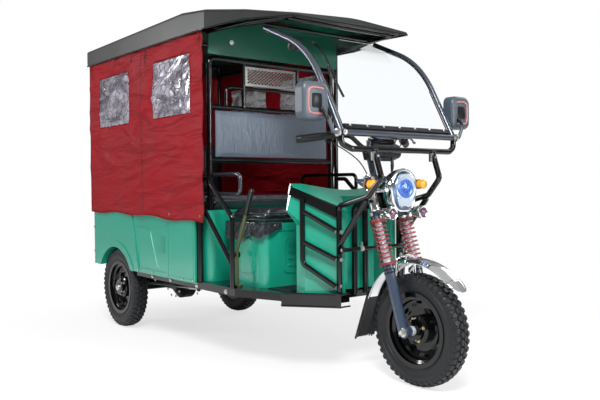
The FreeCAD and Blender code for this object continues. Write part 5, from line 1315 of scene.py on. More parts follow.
ball = lathe([(0.042, 0.005), (0.0405, 0.0072), (0.033, 0.0088), (0.0315, 0.0076), (0.0235, 0.0098),
              (0.022, 0.0082),
              (0.0155, 0.011), (0.014, 0.0165), (0.008, 0.0198), (0.0, 0.0208)], 44, caps=False)
ball_place = FACE @ Matrix.Translation((0, 0.006, 0))
piece("headlamp_projector", moved(ball, ball_place), "projector_blue", "steering", crisp=60)
print("headlamp face at", [round(v, 3) for v in FACE.translation])

# %% [markdown]
# ## Spot lamps and signals
# Two round spot lamps hang under the headlamp, each with a rim, a dark lens and a rosy ring about
# its heart. The turn signals stand out to the sides. All are turned about the direction in which
# they look, so one matrix a side carries every part.

# %% Spot lamps, signals and headlamp ears
LOOK_AHEAD = Matrix.Rotation(math.pi / 2, 4, "Y")
spot_rim = lathe([(0.0255, -0.034), (0.0285, -0.028), (0.0295, -0.004), (0.0285, 0.004), (0.0255, 0.0062),
                  (0.0215, 0.005), (0.0205, 0.002)], 44)
spot_lens = lathe([(0.0212, 0.003), (0.018, 0.006), (0.011, 0.0082), (0.0, 0.009)], 36, caps=False)
spot_heart = lathe([(0.009, 0.0075), (0.0085, 0.0105), (0.005, 0.012), (0.0, 0.0124)], 24, caps=False)
spot_ring = ring(0.0145, 0.0012, (0, 0, 0.0075), (0, 0, 1), 30, 6)
signal_back = lathe([(0.014, -0.0285), (0.0195, -0.0235), (0.0228, -0.016), (0.0228, -0.006),
                     (0.0212, -0.005)], 32)
signal_tip = lathe([(0.0195, 0.0222), (0.018, 0.0265), (0.012, 0.03), (0.0, 0.0312)], 30, caps=False)


def lamp_pair(name, form, finish, place, crisp=35):
    """The same form on a left and a right lamp, looking ahead, as one piece."""
    x, y, z = place
    pair = [moved(form, Matrix.Translation((x, side * y, z)) @ LOOK_AHEAD) for side in SIDES]
    piece(name, joined(pair), finish, "steering", crisp)


SPOT, SIGNAL = (1.047, 0.098, 0.762), (0.975, 0.16, 0.888)
lamp_pair("spot_rims", spot_rim, "chrome", SPOT)
lamp_pair("spot_lenses", spot_lens, "spot_glass", SPOT, crisp=60)
lamp_pair("spot_hearts", spot_heart, "rose_glass", SPOT, crisp=60)
lamp_pair("spot_rings", spot_ring, "rose_glass", SPOT, crisp=60)
lamp_pair("signal_backs", signal_back, "satin_black", SIGNAL)
lamp_pair("signal_tips", signal_tip, "amber_lens", SIGNAL, crisp=60)
ears = []
for side in SIDES:
    ear = [(0.93, side * 0.088, 0.862), (0.955, side * 0.086, 0.862), (0.985, side * 0.078, 0.862)]
    ears += [tube(ear, 0.009, 16),
             moved(bolt_form(0.016, 0.007), facing((0.955, side * 0.095, 0.862), (0, side, 0)))]
piece("headlamp_ears", joined(ears), "chrome", "steering")
print("spot lamps", round(2000 * SPOT[1]), "mm apart")

# %% [markdown]
# ## Hand levers and switches
# Each end of the handlebar carries a brake lever with a ball at its tip, its perch, and a switch
# box with a red button and two screws. The lever is a tube of varying thickness along a smooth
# line, and stays behind the windshield when the steering is turned fully.

# %% Levers and switch boxes
levers, perches, screws, buttons = [], [], [], []
tip_ball = lathe([(0.0, -0.0065), (0.0055, -0.005), (0.0075, 0), (0.0055, 0.005), (0.0, 0.0065)], 16,
                 caps=False)
perch = lathe([(0.0115, -0.014), (0.0165, -0.012), (0.0165, 0.012), (0.0115, 0.014)], 28)
switch_box = joined([lathe([(0.0165, -0.019), (0.0205, -0.016), (0.0205, 0.016), (0.0165, 0.019)], 28),
                     at_place(block((0.03, 0.032, 0.03), 0.006), -0.012, 0, 0)])
for side in SIDES:
    bar = (-0.72, side * 0.69, 0.07)
    blade = smooth_path([(0.052, side * 0.205, 0.262), (0.072, side * 0.222, 0.256),
                         (0.046, side * 0.275, 0.252),
                         (0.002, side * 0.325, 0.260), (-0.022, side * 0.362, 0.268)], 8)
    slim = [0.0058 - 0.0012 * math.sin(math.pi * i / len(blade)) for i in range(len(blade))]
    levers += [tube(blade, slim, 10), moved(tip_ball, Matrix.Translation(blade[-1]))]
    box_at = facing((0.014, side * 0.243, 0.2655), bar)
    hinge_at = facing((0.053, side * 0.208, 0.264), (0, 0, 1), (1, 0, 0))
    perches += [moved(perch, facing((0.036, side * 0.215, 0.265), bar)),
                moved(block((0.018, 0.036, 0.02), 0.004), hinge_at), moved(switch_box, box_at)]
    buttons.append(moved(block((0.006, 0.01, 0.012), 0.002), box_at @ Matrix.Translation((0.0215, 0, 0))))
    screws += [HEAD @ box_at @ facing((-0.016, at, 0.0152), (0, 0, 1)) for at in (0.012, -0.012)]
on_head("brake_hand_levers", joined(levers), "satin_black", crisp=60)
on_head("switch_boxes", joined(perches), "satin_black")
on_head("switch_buttons", joined(buttons), "tail_red")
repeated("switch_screws", bolt_form(0.006, 0.002), "zinc", "steering", screws)
print(len(levers) // 2, "levers")

# %% [markdown]
# ## Grips
# A rubber grip is moulded with rings that keep the hand from slipping. The repeater sets the same
# thin torus 22 times along each grip, and a rounded plug closes its end.

# %% Grip ribs and ends
GRIP_RIBS, RIB_STEP = 22, 0.0048
ribs, plugs = [], []
plug = lathe([(0.0172, -0.0015), (0.0185, -0.0035), (0.0172, -0.006), (0.01, -0.0072), (0.0, -0.0074)], 28,
             caps=False)
for side in SIDES:
    end, start = Vector((-0.072, side * 0.352, 0.281)), Vector((0.0, side * 0.2675, 0.2694))
    along = (start - end).normalized()
    ribs += [HEAD @ facing(end + along * (0.006 + RIB_STEP * k), along) for k in range(GRIP_RIBS)]
    plugs.append(moved(plug, facing((-0.072, side * 0.352, 0.281), Vector((0.112, -side * 0.127, -0.015)))))
one_rib = ring(0.0172, 0.0011, (0, 0, 0), (0, 0, 1), 24, 6)
repeated("grip_ribs", one_rib, "satin_black", "steering", ribs, crisp=60)
on_head("grip_ends", joined(plugs), "satin_black")
print(len(ribs), "grip ribs")

# %% [markdown]
# ## Instruments
# Over the headlamp sits a small pod with a dark hood and a blue screen, tipped towards the driver,
# and under it two plastic boxes with the ignition lock and its key. Shells and rounded boxes are
# enough for all of them. The screen is left blank.

# %% Instruments and key
POD = Matrix.Translation((0.103, 0, 0.218)) @ Matrix.Rotation(math.radians(34), 4, "Y")
hood = shell(outline([(-0.034, -0.056, 0.016), (0.034, -0.056, 0.02), (0.034, 0.056, 0.02),
                      (-0.034, 0.056, 0.016)]),
             [(1, -0.004), (1.03, 0.004), (1.0, 0.011), (0.93, 0.014)])
on_head("instrument_hood", moved(hood, POD), "gloss_black")
screen = shell(outline([(-0.026, -0.046, 0.01), (0.026, -0.046, 0.012), (0.026, 0.046, 0.012),
                        (-0.026, 0.046, 0.01)]),
               [(1, 0.0135), (1, 0.0152), (0.92, 0.016)])
on_head("instrument_screen", moved(screen, POD), "pod_blue")
lock = lathe([(0.014, 0), (0.016, 0.003), (0.016, 0.02), (0.0125, 0.023)], 24)
boxes = joined([at_place(block((0.05, 0.036, 0.045), 0.007), 0.108, 0.048, 0.15),
                at_place(block((0.046, 0.03, 0.05), 0.007), 0.104, -0.05, 0.148),
                at_place(lock, 0.072, -0.052, 0.199)])
on_head("instrument_boxes", boxes, "plastic_grey")
key = joined([lathe([(0.0085, 0.223), (0.0085, 0.228)], 20),
              at_place(block((0.003, 0.016, 0.02), 0.001), 0, 0, 0.236)])
on_head("ignition_key", at_place(key, 0.072, -0.052, 0), "zinc")
print("pod tipped 34 degrees")

# %% [markdown]
# ## Cables
# Each hand lever sends a brake cable to the steering head, each switch box a wire to the headlamp,
# and a thicker wire joins the instruments to the lamp. A cable is one open NURBS curve with a round
# bevel, and the length that its own line measures is printed. The left ones mirror the right ones.

# %% Cable maker
def cable(name, points, across):
    """A cord on one smooth spline, from where it leaves to where it goes back in."""
    data = bpy.data.curves.new(name, "CURVE")
    data.dimensions = "3D"
    line = data.splines.new("NURBS")
    line.points.add(len(points) - 1)
    for spot, p in zip(line.points, points):
        spot.co = (*p, 1)
    line.order_u = 3
    line.use_endpoint_u = True
    line.resolution_u = 10
    data.bevel_depth = across / 2
    data.bevel_resolution = 3
    data.use_fill_caps = True
    data.materials.append(MATERIALS["satin_black"])
    obj = placed(name, data)
    thin = data.copy()
    thin.bevel_depth = 0
    probe = bpy.data.objects.new("probe", thin)
    middle = [v.co.copy() for v in bpy.data.meshes.new_from_object(probe).vertices]
    bpy.data.objects.remove(probe)
    long = sum((b - a).length for a, b in zip(middle, middle[1:]))
    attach(obj, "steering")
    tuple(points[0])
    print(name, "is", round(long * 1000), "mm long")


def on_fork(points, side=1):
    return [tuple(HEAD @ Vector((x, side * y, z))) for x, y, z in points]


BRAKE_ROUTE = [(0.053, 0.190, 0.264), (0.058, 0.168, 0.262), (0.068, 0.125, 0.236), (0.066, 0.080, 0.168),
               (0.064, 0.058, 0.105), (0.060, 0.052, 0.055)]
SWITCH_ROUTE = [(0.004, 0.236, 0.252), (0.010, 0.218, 0.236), (0.022, 0.165, 0.198), (0.034, 0.112, 0.150),
                (0.040, 0.088, 0.100), (0.042, 0.078, 0.056)]
LAMP_ROUTE = [(0.118, 0.018, 0.128), (0.121, 0.018, 0.114), (0.120, 0.012, 0.086), (0.112, 0.004, 0.062),
              (0.104, 0.002, 0.046)]
for name, route, across in (("brake_cable", BRAKE_ROUTE, 0.0062), ("switch_wire", SWITCH_ROUTE, 0.0054)):
    for label, side in (("right", -1), ("left", 1)):
        cable("%s_%s" % (name, label), on_fork(route, side), across)
cable("lamp_wire", on_fork(LAMP_ROUTE), 0.009)

# %% [markdown]
# ## Front mudguard
# The chromed arch comes from CAD. It gets rolled beads along its edges, two pressed lines on its
# crest, a leaf-shaped tip and a bright stay over its crown. The tip is a grid that narrows as it
# goes on round the wheel; the beads are tubes on the same arch.

# %% Mudguard trim
def on_arch(angle, y, radius):
    """A point round the front wheel's centre; the angle is in degrees up from straight ahead."""
    a = math.radians(angle)
    return FRONT_CENTRE + Vector((radius * math.cos(a), y, radius * math.sin(a)))


def leaf(u, v):
    """The mudguard's tip: u from side to side, v from the arch's end to the tip."""
    y = u * (0.05 * math.sqrt(max(0.0, 1 - v ** 1.7)))
    drop = 0.016 * min(1, max(0, (abs(y) - 0.02) / 0.03))
    return on_arch(50.5 - 12.5 * v, y, 0.3127 - drop - 0.004 * v * v)


tip = grid(even(-1, 1, 0.09), [0, 0.15, 0.3, 0.45, 0.6, 0.72, 0.82, 0.9, 0.95, 0.98, 1], leaf)
piece("mudguard_tip", tip, "chrome", "steering", crisp=60, wall=0.0028)
beads = [tube([on_arch(a, side * 0.0492, 0.2958) for a in np.linspace(158.5, 49, 44)], 0.0026, 8)
         for side in SIDES]
crest = [tube([on_arch(a, side * 0.013, 0.3124) for a in np.linspace(158, 51, 44)], 0.0018, 6)
         for side in SIDES]
piece("mudguard_beads", joined(beads + crest), "chrome", "steering", crisp=60)
stay = smooth_path([(1.030, -0.0615, 0.472), (1.030, -0.0615, 0.545), (1.033, -0.052, 0.5625),
                    (1.034, -0.02, 0.5685),
                    (1.034, 0.02, 0.5685), (1.033, 0.052, 0.5625), (1.030, 0.0615, 0.545),
                    (1.030, 0.0615, 0.472)], 8)
stay_bolts = [moved(bolt_form(0.013, 0.006), facing((1.030, side * 0.0668, 0.480), (0, side, 0)))
              for side in SIDES]
piece("mudguard_stay", joined([tube(stay, 0.0052, 12)] + stay_bolts), "chrome", "steering", crisp=50)
print("mudguard tip of", len(tip[1]), "faces")

# %% [markdown]
# ## Rubber flap
# A rubber flap behind the mudguard keeps mud off the driver's feet. Its foot is cut into teeth, and
# three moulded ribs stiffen it. The flap itself is a CAD node; the teeth are small plates set along
# its lower edge, following its curve.

# %% Teeth, ribs and bolts of the flap
FLAP_ANGLE = 159
flap_turn = math.radians(FLAP_ANGLE)
down = Vector((-math.sin(flap_turn), 0, math.cos(flap_turn)))
out = Vector((math.cos(flap_turn), 0, math.sin(flap_turn)))
tooth = plate([(-0.0053, 0), (0.0053, 0), (0.0022, 0.0115), (-0.0022, 0.0115)], 0.0048, 0.001)
hanging = Matrix((Vector((0, 1, 0)), down, -out)).transposed().to_4x4()
teeth = []
for k in range(11):
    y = (k - 5) * 0.0106
    drop = 0.016 * min(1, max(0, (abs(y) - 0.031) / 0.031))
    at = on_arch(FLAP_ANGLE, y, 0.3148 - drop) + down * 0.2065
    teeth.append(moved(tooth, Matrix.Translation(at) @ hanging @ Matrix.Translation((0, 0, -0.0024))))
piece("flap_teeth", joined(teeth), "satin_black", "steering")
lines = [tube([on_arch(FLAP_ANGLE, side * 0.02, 0.3178) + down * t for t in np.linspace(0.004, 0.203, 12)],
              0.0022, 6)
         for side in (1, 0, -1)]
piece("flap_ribs", joined(lines), "satin_black", "steering", crisp=60)
spots = [facing(on_arch(155, side * 0.024, 0.3122), out) for side in SIDES]
repeated("flap_bolts", bolt_form(0.012, 0.005), "zinc", "steering", spots)
print(len(teeth), "teeth")

# %% [markdown]
# ## Windshield dressing
# A rubber strip seats the clear sheet on its lower rail, and two rubber edges run up its sides.
# Screws hold the strip, and zinc collars and bolts fix the frame to its arms. The sheet's lower
# part is straight and leans back, so one small function gives any point on it.

# %% Rubber, screws and collars
LEAN = math.radians(-28.6)
UP_SHARE, BACK_SHARE = 0.878, 0.479


def up_glass(s, y=0.0, proud=0.0):
    """A point s metres up the windshield's straight lower part, and proud metres in front of it."""
    return Vector((1.006 - BACK_SHARE * s + UP_SHARE * proud, y, 1.109 + UP_SHARE * s + BACK_SHARE * proud))


strip_place = Matrix.Translation(up_glass(0.0285, proud=0.002)) @ Matrix.Rotation(LEAN, 4, "Y")
strip = moved(block((0.016, 0.672, 0.027), 0.004), strip_place)
rails = [tube([up_glass(s, side * 0.3405) for s in np.linspace(0.03, 0.268, 8)], 0.0065, 10)
         for side in SIDES]
piece("screen_rubber", joined([strip] + rails), "satin_black")
screws = [Matrix.Translation(up_glass(0.034, y, 0.010)) @ facing((0, 0, 0), (UP_SHARE, 0, BACK_SHARE))
          for y in np.linspace(-0.3, 0.3, 7)]
repeated("screen_screws", bolt_form(0.009, 0.003), "zinc", "root", screws)
couplers, corners = [], []
collar = lathe([(0.0135, -0.02), (0.0165, -0.018), (0.0165, 0.018), (0.0135, 0.02)], 28)
clip = lathe([(0.014, -0.006), (0.0185, -0.004), (0.0185, 0.004), (0.014, 0.006)], 24)
for side in SIDES:
    couplers += [at_place(collar, 1.0272, side * 0.186, 1.011),
                 moved(bolt_form(0.014, 0.008), facing((1.0437, side * 0.186, 1.011), (1, 0, 0)))]
    corners += [moved(clip, facing((1.006, side * 0.3775, 1.109), (0, 1, 0))),
                moved(bolt_form(0.016, 0.008), facing((1.0245, side * 0.352, 1.109), (1, 0, 0)))]
piece("arm_couplers", joined(couplers), "zinc")
piece("screen_corner_bolts", joined(corners), "zinc")
print(len(screws), "screws along the strip")

# %% [markdown]
# ## Wiper
# The wiper's motor sits inside under the roof, and its arm lies outside on the driver's side of the
# glass, with a rubber blade in a holder. The arm is a tube that grows thinner; the blade is two
# slim boxes turned along the line between its ends.

# %% Wiper
mount, proud = Vector((0.6955, -0.255, 1.5335)), Vector((0.5, 0, 0.866))
elbow = Vector((0.808, -0.281, 1.452))
top = Vector((0.846, -0.300, 1.411))
low = Vector((0.931, -0.280, 1.264))
hub = lathe([(0.014, 0), (0.014, 0.008), (0.0105, 0.014), (0.0, 0.0145)], 28, caps=False)
piece("wiper_hub", moved(hub, facing(mount + proud * 0.002, proud)), "satin_black")
arm = smooth_path([mount + proud * 0.010, (mount + elbow) / 2 + Vector((0.012, 0, 0.013)),
                   elbow + Vector((0.01, 0, 0.007)), (top + low) / 2 + Vector((0.0115, 0, 0.0075))], 8)
piece("wiper_arm", tube(arm, [0.0048 - 0.0012 * i / len(arm) for i in range(len(arm))], 10), "gloss_black",
      crisp=60)
along = (low - top).normalized()
across = along.cross(Vector((0, 1, 0))).normalized()
if across.x < 0:
    across = -across
turn = Matrix((across, along.cross(across), along)).transposed().to_4x4()
blade_long, blade_middle = (low - top).length, (top + low) / 2
holder = moved(block((0.006, 0.007, blade_long), 0.002),
               Matrix.Translation(blade_middle + across * 0.009) @ turn)
rubber = moved(block((0.0075, 0.0022, blade_long * 0.98), 0.0008),
               Matrix.Translation(blade_middle + across * 0.0035) @ turn)
piece("wiper_blade", joined([holder, rubber]), "satin_black")
motor_place = Matrix.Translation((0.596, -0.285, 1.552)) @ Matrix.Rotation(math.radians(24), 4, "Y")
motor = joined([lathe([(0.0, -0.031), (0.021, -0.031), (0.028, -0.026), (0.03, -0.012), (0.03, 0.012),
                       (0.027, 0.019), (0.012, 0.021), (0.012, 0.03), (0.0, 0.03)], 36, caps=False),
                at_place(block((0.03, 0.052, 0.006), 0.002), 0, 0, 0.0265)])
piece("wiper_motor", moved(motor, motor_place), "satin_black")
print("wiper blade", round(blade_long * 1000), "mm long")

# %% [markdown]
# ## Mirrors
# Each mirror is a grey housing with rounded corners, a rosy band bent like a C on its front, a dark
# inset, and a silvered glass behind. A ball joint on a bent stalk carries it. The flat parts are
# shells through rounded outlines, at different scales.

# %% Mirrors
housings, bands, insets, glasses, balls = [], [], [], [], []
shape = outline([(-0.0675, -0.08, 0.034), (0.0675, -0.08, 0.034), (0.0675, 0.08, 0.034),
                 (-0.0675, 0.08, 0.034)])
housing = shell(shape, [(0.996, -0.001), (0.985, 0.004), (0.95, 0.0085), (0.88, 0.0125), (0.8, 0.0138)])
glass = shell(shape, [(0.9, -0.0455), (0.9, -0.0462), (0.88, -0.0466)])
cee = smooth_path([(-0.038, 0.05, 0.0135), (0.0, 0.0545, 0.0145), (0.039, 0.051, 0.0135),
                   (0.043, 0.02, 0.0135),
                   (0.043, -0.03, 0.0135), (0.036, -0.053, 0.0132), (0.0, -0.055, 0.0142),
                   (-0.03, -0.052, 0.0135)], 6)
inset = shell(outline([(-0.028, -0.03, 0.008), (0.024, -0.03, 0.008), (0.024, 0.03, 0.008),
                       (-0.028, 0.03, 0.008)]),
              [(1, 0.012), (1, 0.0165), (0.88, 0.019)])
ball = lathe([(0.0, -0.012), (0.009, -0.009), (0.0125, 0), (0.009, 0.009), (0.0, 0.012)], 20, caps=False)
for side in SIDES:
    turn = Matrix(((0, 0, 1, 0), (side, 0, 0, 0), (0, 1, 0, 0), (0, 0, 0, 1)))
    turn = Matrix.Translation((0.959, side * 0.463, 1.238)) @ turn
    housings.append(moved(housing, turn))
    bands.append(moved(tube(cee, 0.0042, 8), turn))
    insets.append(moved(inset, turn))
    glasses.append(moved(glass, turn))
    stalk = smooth_path([(1.006, side * 0.43, 1.158), (1.0, side * 0.436, 1.185),
                         (0.978, side * 0.4385, 1.2)], 6)
    balls += [at_place(ball, 0.978, side * 0.4385, 1.2), tube(stalk, 0.0078, 12)]
piece("mirror_housings", joined(housings), "plastic_grey")
piece("mirror_bands", joined(bands), "rose_plastic", crisp=60)
piece("mirror_insets", joined(insets), "satin_black")
piece("mirror_glasses", joined(glasses), "mirror_glass")
piece("mirror_joints", joined(balls), "satin_black", crisp=50)
print("front end dressed,", len(balls) // 2, "mirrors")

# %% [markdown]
# ## Sill and panel bolts
# Large bolts hold the side guards to the sill, and small ones close the side panels. Only their
# places differ, so each kind is a list of places for the repeater.

# %% Sill and side panels
sill, small = [], []
for side in SIDES:
    sill += [facing((x, side * 0.4697, 0.365), (0, side, 0)) for x in (-0.52, -0.30, -0.013, 0.27)]
    small += [facing((x, side * 0.4965, 0.393), (0, side, 0)) for x in (-0.66, -0.48, -0.30, -0.13, -0.01)]
    small += [facing((-1.316, side * 0.4965, z), (0, side, 0)) for z in (0.46, 0.62)]
repeated("sill_bolts", bolt_form(0.017, 0.008), "zinc", "root", sill)
repeated("panel_bolts", bolt_form(0.008, 0.0028), "zinc", "root", small)
print(len(sill) + len(small), "bolts")

# %% [markdown]
# ## Rear brake rods and spring clamps
# Long rods under the floor work the rear drums, with a threaded sleeve for adjusting and a bracket
# at each end. U-shaped bolts clamp the axle to its leaf springs over a square plate. These are
# tubes, rounded blocks and one repeated nut.

# %% Rods, brackets and U-bolts
rods, brackets, nuts = [], [], []
for side in SIDES:
    y = side * 0.296
    rods += [tube([(-0.952, y, 0.268), (-0.285, y, 0.300)], 0.0058, 12),
             tube([(-0.40, y, 0.2945), (-0.33, y, 0.2979)], 0.0095, 8)]
    brackets += [at_place(block((0.03, 0.008, 0.07), 0.003), -0.285, y + side * 0.009, 0.322),
                 at_place(block((0.012, 0.008, 0.05), 0.003), -0.955, y + side * 0.009, 0.262)]
    nuts += [facing((x, y - side * 0.005, z), (0, -side, 0)) for x, z in ((-0.285, 0.300), (-0.952, 0.268))]
    inner, outer = side * 0.3098, side * 0.3702
    for x in (-1.037, -0.966):
        hoop = [(x, inner, 0.2), (x, inner, 0.352), (x, side * 0.318, 0.3575), (x, side * 0.362, 0.3575),
                (x, outer, 0.352), (x, outer, 0.2)]
        rods.append(tube(smooth_path(hoop, 6), 0.0048, 10))
        nuts += [(facing((x, across, 0.2085), (0, 0, -1)), 0.8) for across in (inner, outer)]
    brackets.append(at_place(block((0.1, 0.07, 0.008), 0.002), -1.0015, side * 0.34, 0.2125))
    nuts += [facing((x, side * 0.3655, z), (0, side, 0)) for x, z in ((-1.274, 0.336), (-0.698, 0.318))]
piece("brake_rods", joined(rods), "zinc", crisp=60)
piece("rod_brackets", joined(brackets), "satin_black")
repeated("under_nuts", bolt_form(0.014, 0.008), "zinc", "root", nuts)
print(len(nuts), "nuts under the floor")

# %% [markdown]
# ## Cross bar and leg guard bolts
# A black bar with two zinc clasps crosses the front of the leg shield, and the leg guards are
# bolted to it. A clasp is drawn for the right side and mirrored to the left, and its faces are
# turned round so that they still look outwards.

# %% Cross bar, clasps and hangers
def on_side(form):
    """The same form on the vehicle's other side."""
    return form[0] * np.array([1, -1, 1]), [face[::-1] for face in form[1]]


bar_clamp = block((0.014, 0.03, 0.034), 0.003)
bar = joined([tube([(0.8215, -0.2, 0.59), (0.8215, 0.2, 0.59)], 0.0095, 14),
              at_place(bar_clamp, 0.817, -0.197, 0.59), at_place(bar_clamp, 0.817, 0.197, 0.59)])
piece("shield_cross_bar", bar, "gloss_black")
band = lathe([(0.0097, -0.011), (0.0128, -0.01), (0.0128, 0.01), (0.0097, 0.011)], 24)
clasp = joined([moved(band, facing((0.8215, -0.075, 0.59), (0, 1, 0))),
                at_place(block((0.012, 0.009, 0.03), 0.002), 0.8245, -0.075, 0.608)])
piece("cross_bar_clasp", joined([clasp, on_side(clasp)]), "zinc")
spots = [facing((0.8235, side * 0.197, 0.59), (1, 0, 0)) for side in SIDES]
hangers = []
for side in SIDES:
    for z in (0.672, 0.545, 0.425):
        spots.append(facing((0.8152, side * 0.194, z), (1, 0, 0)))
        spots.append((facing((0.802, side * 0.2182, z + 0.004), (0, side, 0)), 0.8))
    hangers += [at_place(lathe([(0.0045, 0.322), (0.0045, 0.352)], 14), 0.792, side * 0.196, 0),
                moved(bolt_form(0.013, 0.008), facing((0.792, side * 0.196, 0.329), (0, 0, -1)))]
repeated("guard_bolts", bolt_form(0.013, 0.006), "zinc", "root", spots)
piece("step_hangers", joined(hangers), "zinc")
print(len(spots), "bolts on bar and guards")

# %% [markdown]
# ## Front step and floor mat
# The front step's sheet is rolled to a bead along its upper and lower edges, and a ribbed rubber
# mat lies in front of the driver's seat. The beads are tubes along the step's outline; the mat is a
# thin shell, and the repeater sets its ribs.

# %% Step beads and floor mat
beads = []
for z, wire in ((0.3905, 0.0042), (0.3335, 0.0038)):
    for side in SIDES:
        turned = smooth_path([(0.612, side * 0.3845, z), (0.622, side * 0.3885, z), (0.64, side * 0.3735, z)],
                             6)
        straight = [Vector((x, side * y, z)) for x, y in ((0.822, 0.2255), (0.8355, 0.2135), (0.8355, 0.16))]
        beads.append(tube(turned + straight, wire, 10))
piece("step_beads", joined(beads), "gloss_black", crisp=60)
mat = shell([(0.452, -0.345), (0.606, -0.332), (0.606, 0.332), (0.452, 0.345)],
            [(1, 0.3882), (1, 0.3915), (0.996, 0.3925)])
piece("floor_mat", mat, "satin_black")
ribs = [Matrix.Translation((x, 0, 0.3925)) for x in np.linspace(0.468, 0.592, 9)]
repeated("mat_ribs", block((0.0055, 0.62, 0.003), 0.001, 1), "satin_black", "root", ribs)
print(len(beads), "beads,", len(ribs), "mat ribs")

# %% [markdown]
# ## Hand brake lever
# The lever itself is a CAD node. Its rubber sleeve has nine soft rings, which one turned profile
# draws: each ring is two points out and one point in. A base plate and a pivot stand at its foot.

# %% Lever sleeve and base
low, high = Vector((0.281, -0.412, 0.560)), Vector((0.417, -0.412, 0.866))
start = low + (high - low) * 0.62
long = (high - start).length
profile = [(0.0, -0.002), (0.0115, -0.002)]
for k in range(9):
    z = long * k / 9
    profile += [(0.0134, z + 0.002), (0.0134, z + long / 9 - 0.003), (0.0122, z + long / 9 - 0.0015)]
profile += [(0.0125, long), (0.0095, long + 0.0035), (0.0, long + 0.0045)]
sleeve = lathe(profile, 28, caps=False)
piece("lever_sleeve", moved(sleeve, facing(start, (high - low).normalized())), "satin_black")
pivot = lathe([(0.015, -0.018), (0.0165, -0.016), (0.0165, 0.016), (0.015, 0.018)], 24)
lever_base = joined([at_place(block((0.075, 0.05, 0.008), 0.003), 0.262, -0.412, 0.393),
                     moved(pivot, facing((0.272, -0.412, 0.545), (0, 1, 0)))])
piece("lever_base", lever_base, "satin_black")
print("sleeve", round(long * 1000), "mm long")

# %% [markdown]
# ## Under and round the roof
# A small white lamp looks forward from the header, a black bead follows the roof's front edge, and
# a light tube frame carries the canopy. All are tubes on lines measured on the roof, and two turned
# forms for the lamp.

# %% Header lamp, roof bead and canopy frame
lamp_at = facing((0.0722, -0.300, 1.638), (1, 0, 0))
lamp_base = lathe([(0.017, 0), (0.017, 0.004), (0.0135, 0.007)], 30)
lamp_dome = lathe([(0.013, 0.005), (0.0125, 0.010), (0.009, 0.0145), (0.0, 0.0162)], 28, caps=False)
piece("header_lamp_base", moved(lamp_base, lamp_at), "satin_black")
piece("header_lamp", moved(lamp_dome, lamp_at), "light_white", crisp=60)
trim = []
for side in SIDES:
    y = side * 0.5105
    edge = smooth_path([(-1.36, y, 1.6845), (-0.6, y, 1.678), (-0.08, y, 1.673), (0.15, y, 1.673)], 8)
    trim.append(tube(edge + [Vector((0.40, side * 0.4415, 1.681)), Vector((0.70, side * 0.3675, 1.6535))],
                     0.0042, 10))
trim.append(tube([(0.7045, -0.3665, 1.6535), (0.7045, 0.3665, 1.6535)], 0.0042, 10))
piece("roof_bead", joined(trim), "gloss_black", crisp=60)
under = [tube([(0.084, side * 0.452, 1.672), (0.40, side * 0.412, 1.672), (0.67, side * 0.338, 1.662)],
              0.0085, 12)
         for side in SIDES]
under.append(tube([(0.665, -0.338, 1.662), (0.665, 0.338, 1.662)], 0.0085, 12))
under.append(tube([(0.40, -0.412, 1.674), (0.40, 0.412, 1.674)], 0.0075, 12))
piece("canopy_frame", joined(under), "gloss_black", crisp=60)
print(len(trim) + len(under), "tubes round the roof")

# %% [markdown]
# ## Rear axle
# The casing of the rear gears is two halves, held by a ring of bolts on each face. The casing comes
# from CAD, so only the bolts are added, ten to a face.

# %% Bolts of the rear axle
RING_RADIUS, RING_BOLTS = 0.098, 10
axle_x, axle_z = -1.0015, TYRE_RADIUS
spots = []
for k in range(RING_BOLTS):
    a = 2 * math.pi * k / RING_BOLTS
    x, z = axle_x + RING_RADIUS * math.cos(a), axle_z + RING_RADIUS * math.sin(a)
    spots += [facing((x, side * 0.0802, z), (0, side, 0)) for side in (-1, 1)]
repeated("axle_bolts", bolt_form(0.012, 0.006), "zinc", "root", spots)
print(len(spots), "bolts on the gear casing")

# %% [markdown]
# ## The floor
# The photograph is a cut-out on white. A white floor would look grey where no lamp shines on it, so
# further out the camera sees it glow plain white, and near the vehicle part of that glow is taken
# away, so that the soft shadow shows.

# %% Floor
def floor_finish():
    """A white floor that takes the shadow near the vehicle and is plain white further out."""
    mat = bpy.data.materials.new("floor_white")
    mat.use_nodes = True
    tree = mat.node_tree
    shader = tree.nodes["Principled BSDF"]
    shader.inputs["Base Color"].default_value = (0.95, 0.95, 0.95, 1)
    shader.inputs["Roughness"].default_value = 0.9
    shader.inputs["Specular IOR Level"].default_value = 0.1
    reach = add_node(tree, "ShaderNodeVectorMath", {0: object_place(tree)}, operation="LENGTH")
    far = add_node(tree, "ShaderNodeMapRange", {"Value": reach.outputs["Value"], "From Min": 1.3,
                                                "From Max": 2.3,
                                                "To Min": 0.68}, interpolation_type="SMOOTHSTEP")
    path = add_node(tree, "ShaderNodeLightPath").outputs
    direct = math_node(tree, "MAXIMUM", path["Is Camera Ray"], path["Is Transmission Ray"])
    share = math_node(tree, "MULTIPLY", far.outputs["Result"], direct)
    glow = add_node(tree, "ShaderNodeEmission", {"Color": (1, 1, 1, 1), "Strength": 1})
    mix = add_node(tree, "ShaderNodeMixShader", {0: share, 1: shader.outputs[0], 2: glow.outputs[0]})
    tree.links.new(mix.outputs[0], tree.nodes["Material Output"].inputs["Surface"])
    return mat


bpy.ops.mesh.primitive_plane_add(size=60)
floor = bpy.context.object
floor.name = "floor"
floor.data.materials.append(floor_finish())
print("floor", floor.dimensions.x, "metres wide")

# %% [markdown]
# ## The world
# Chrome shows what surrounds it, so the world matters more than any lamp. It is a soft vertical
# gradient, dark below and pale above, like a studio with a light ceiling. The camera, and rays
# through glass, see plain white instead.

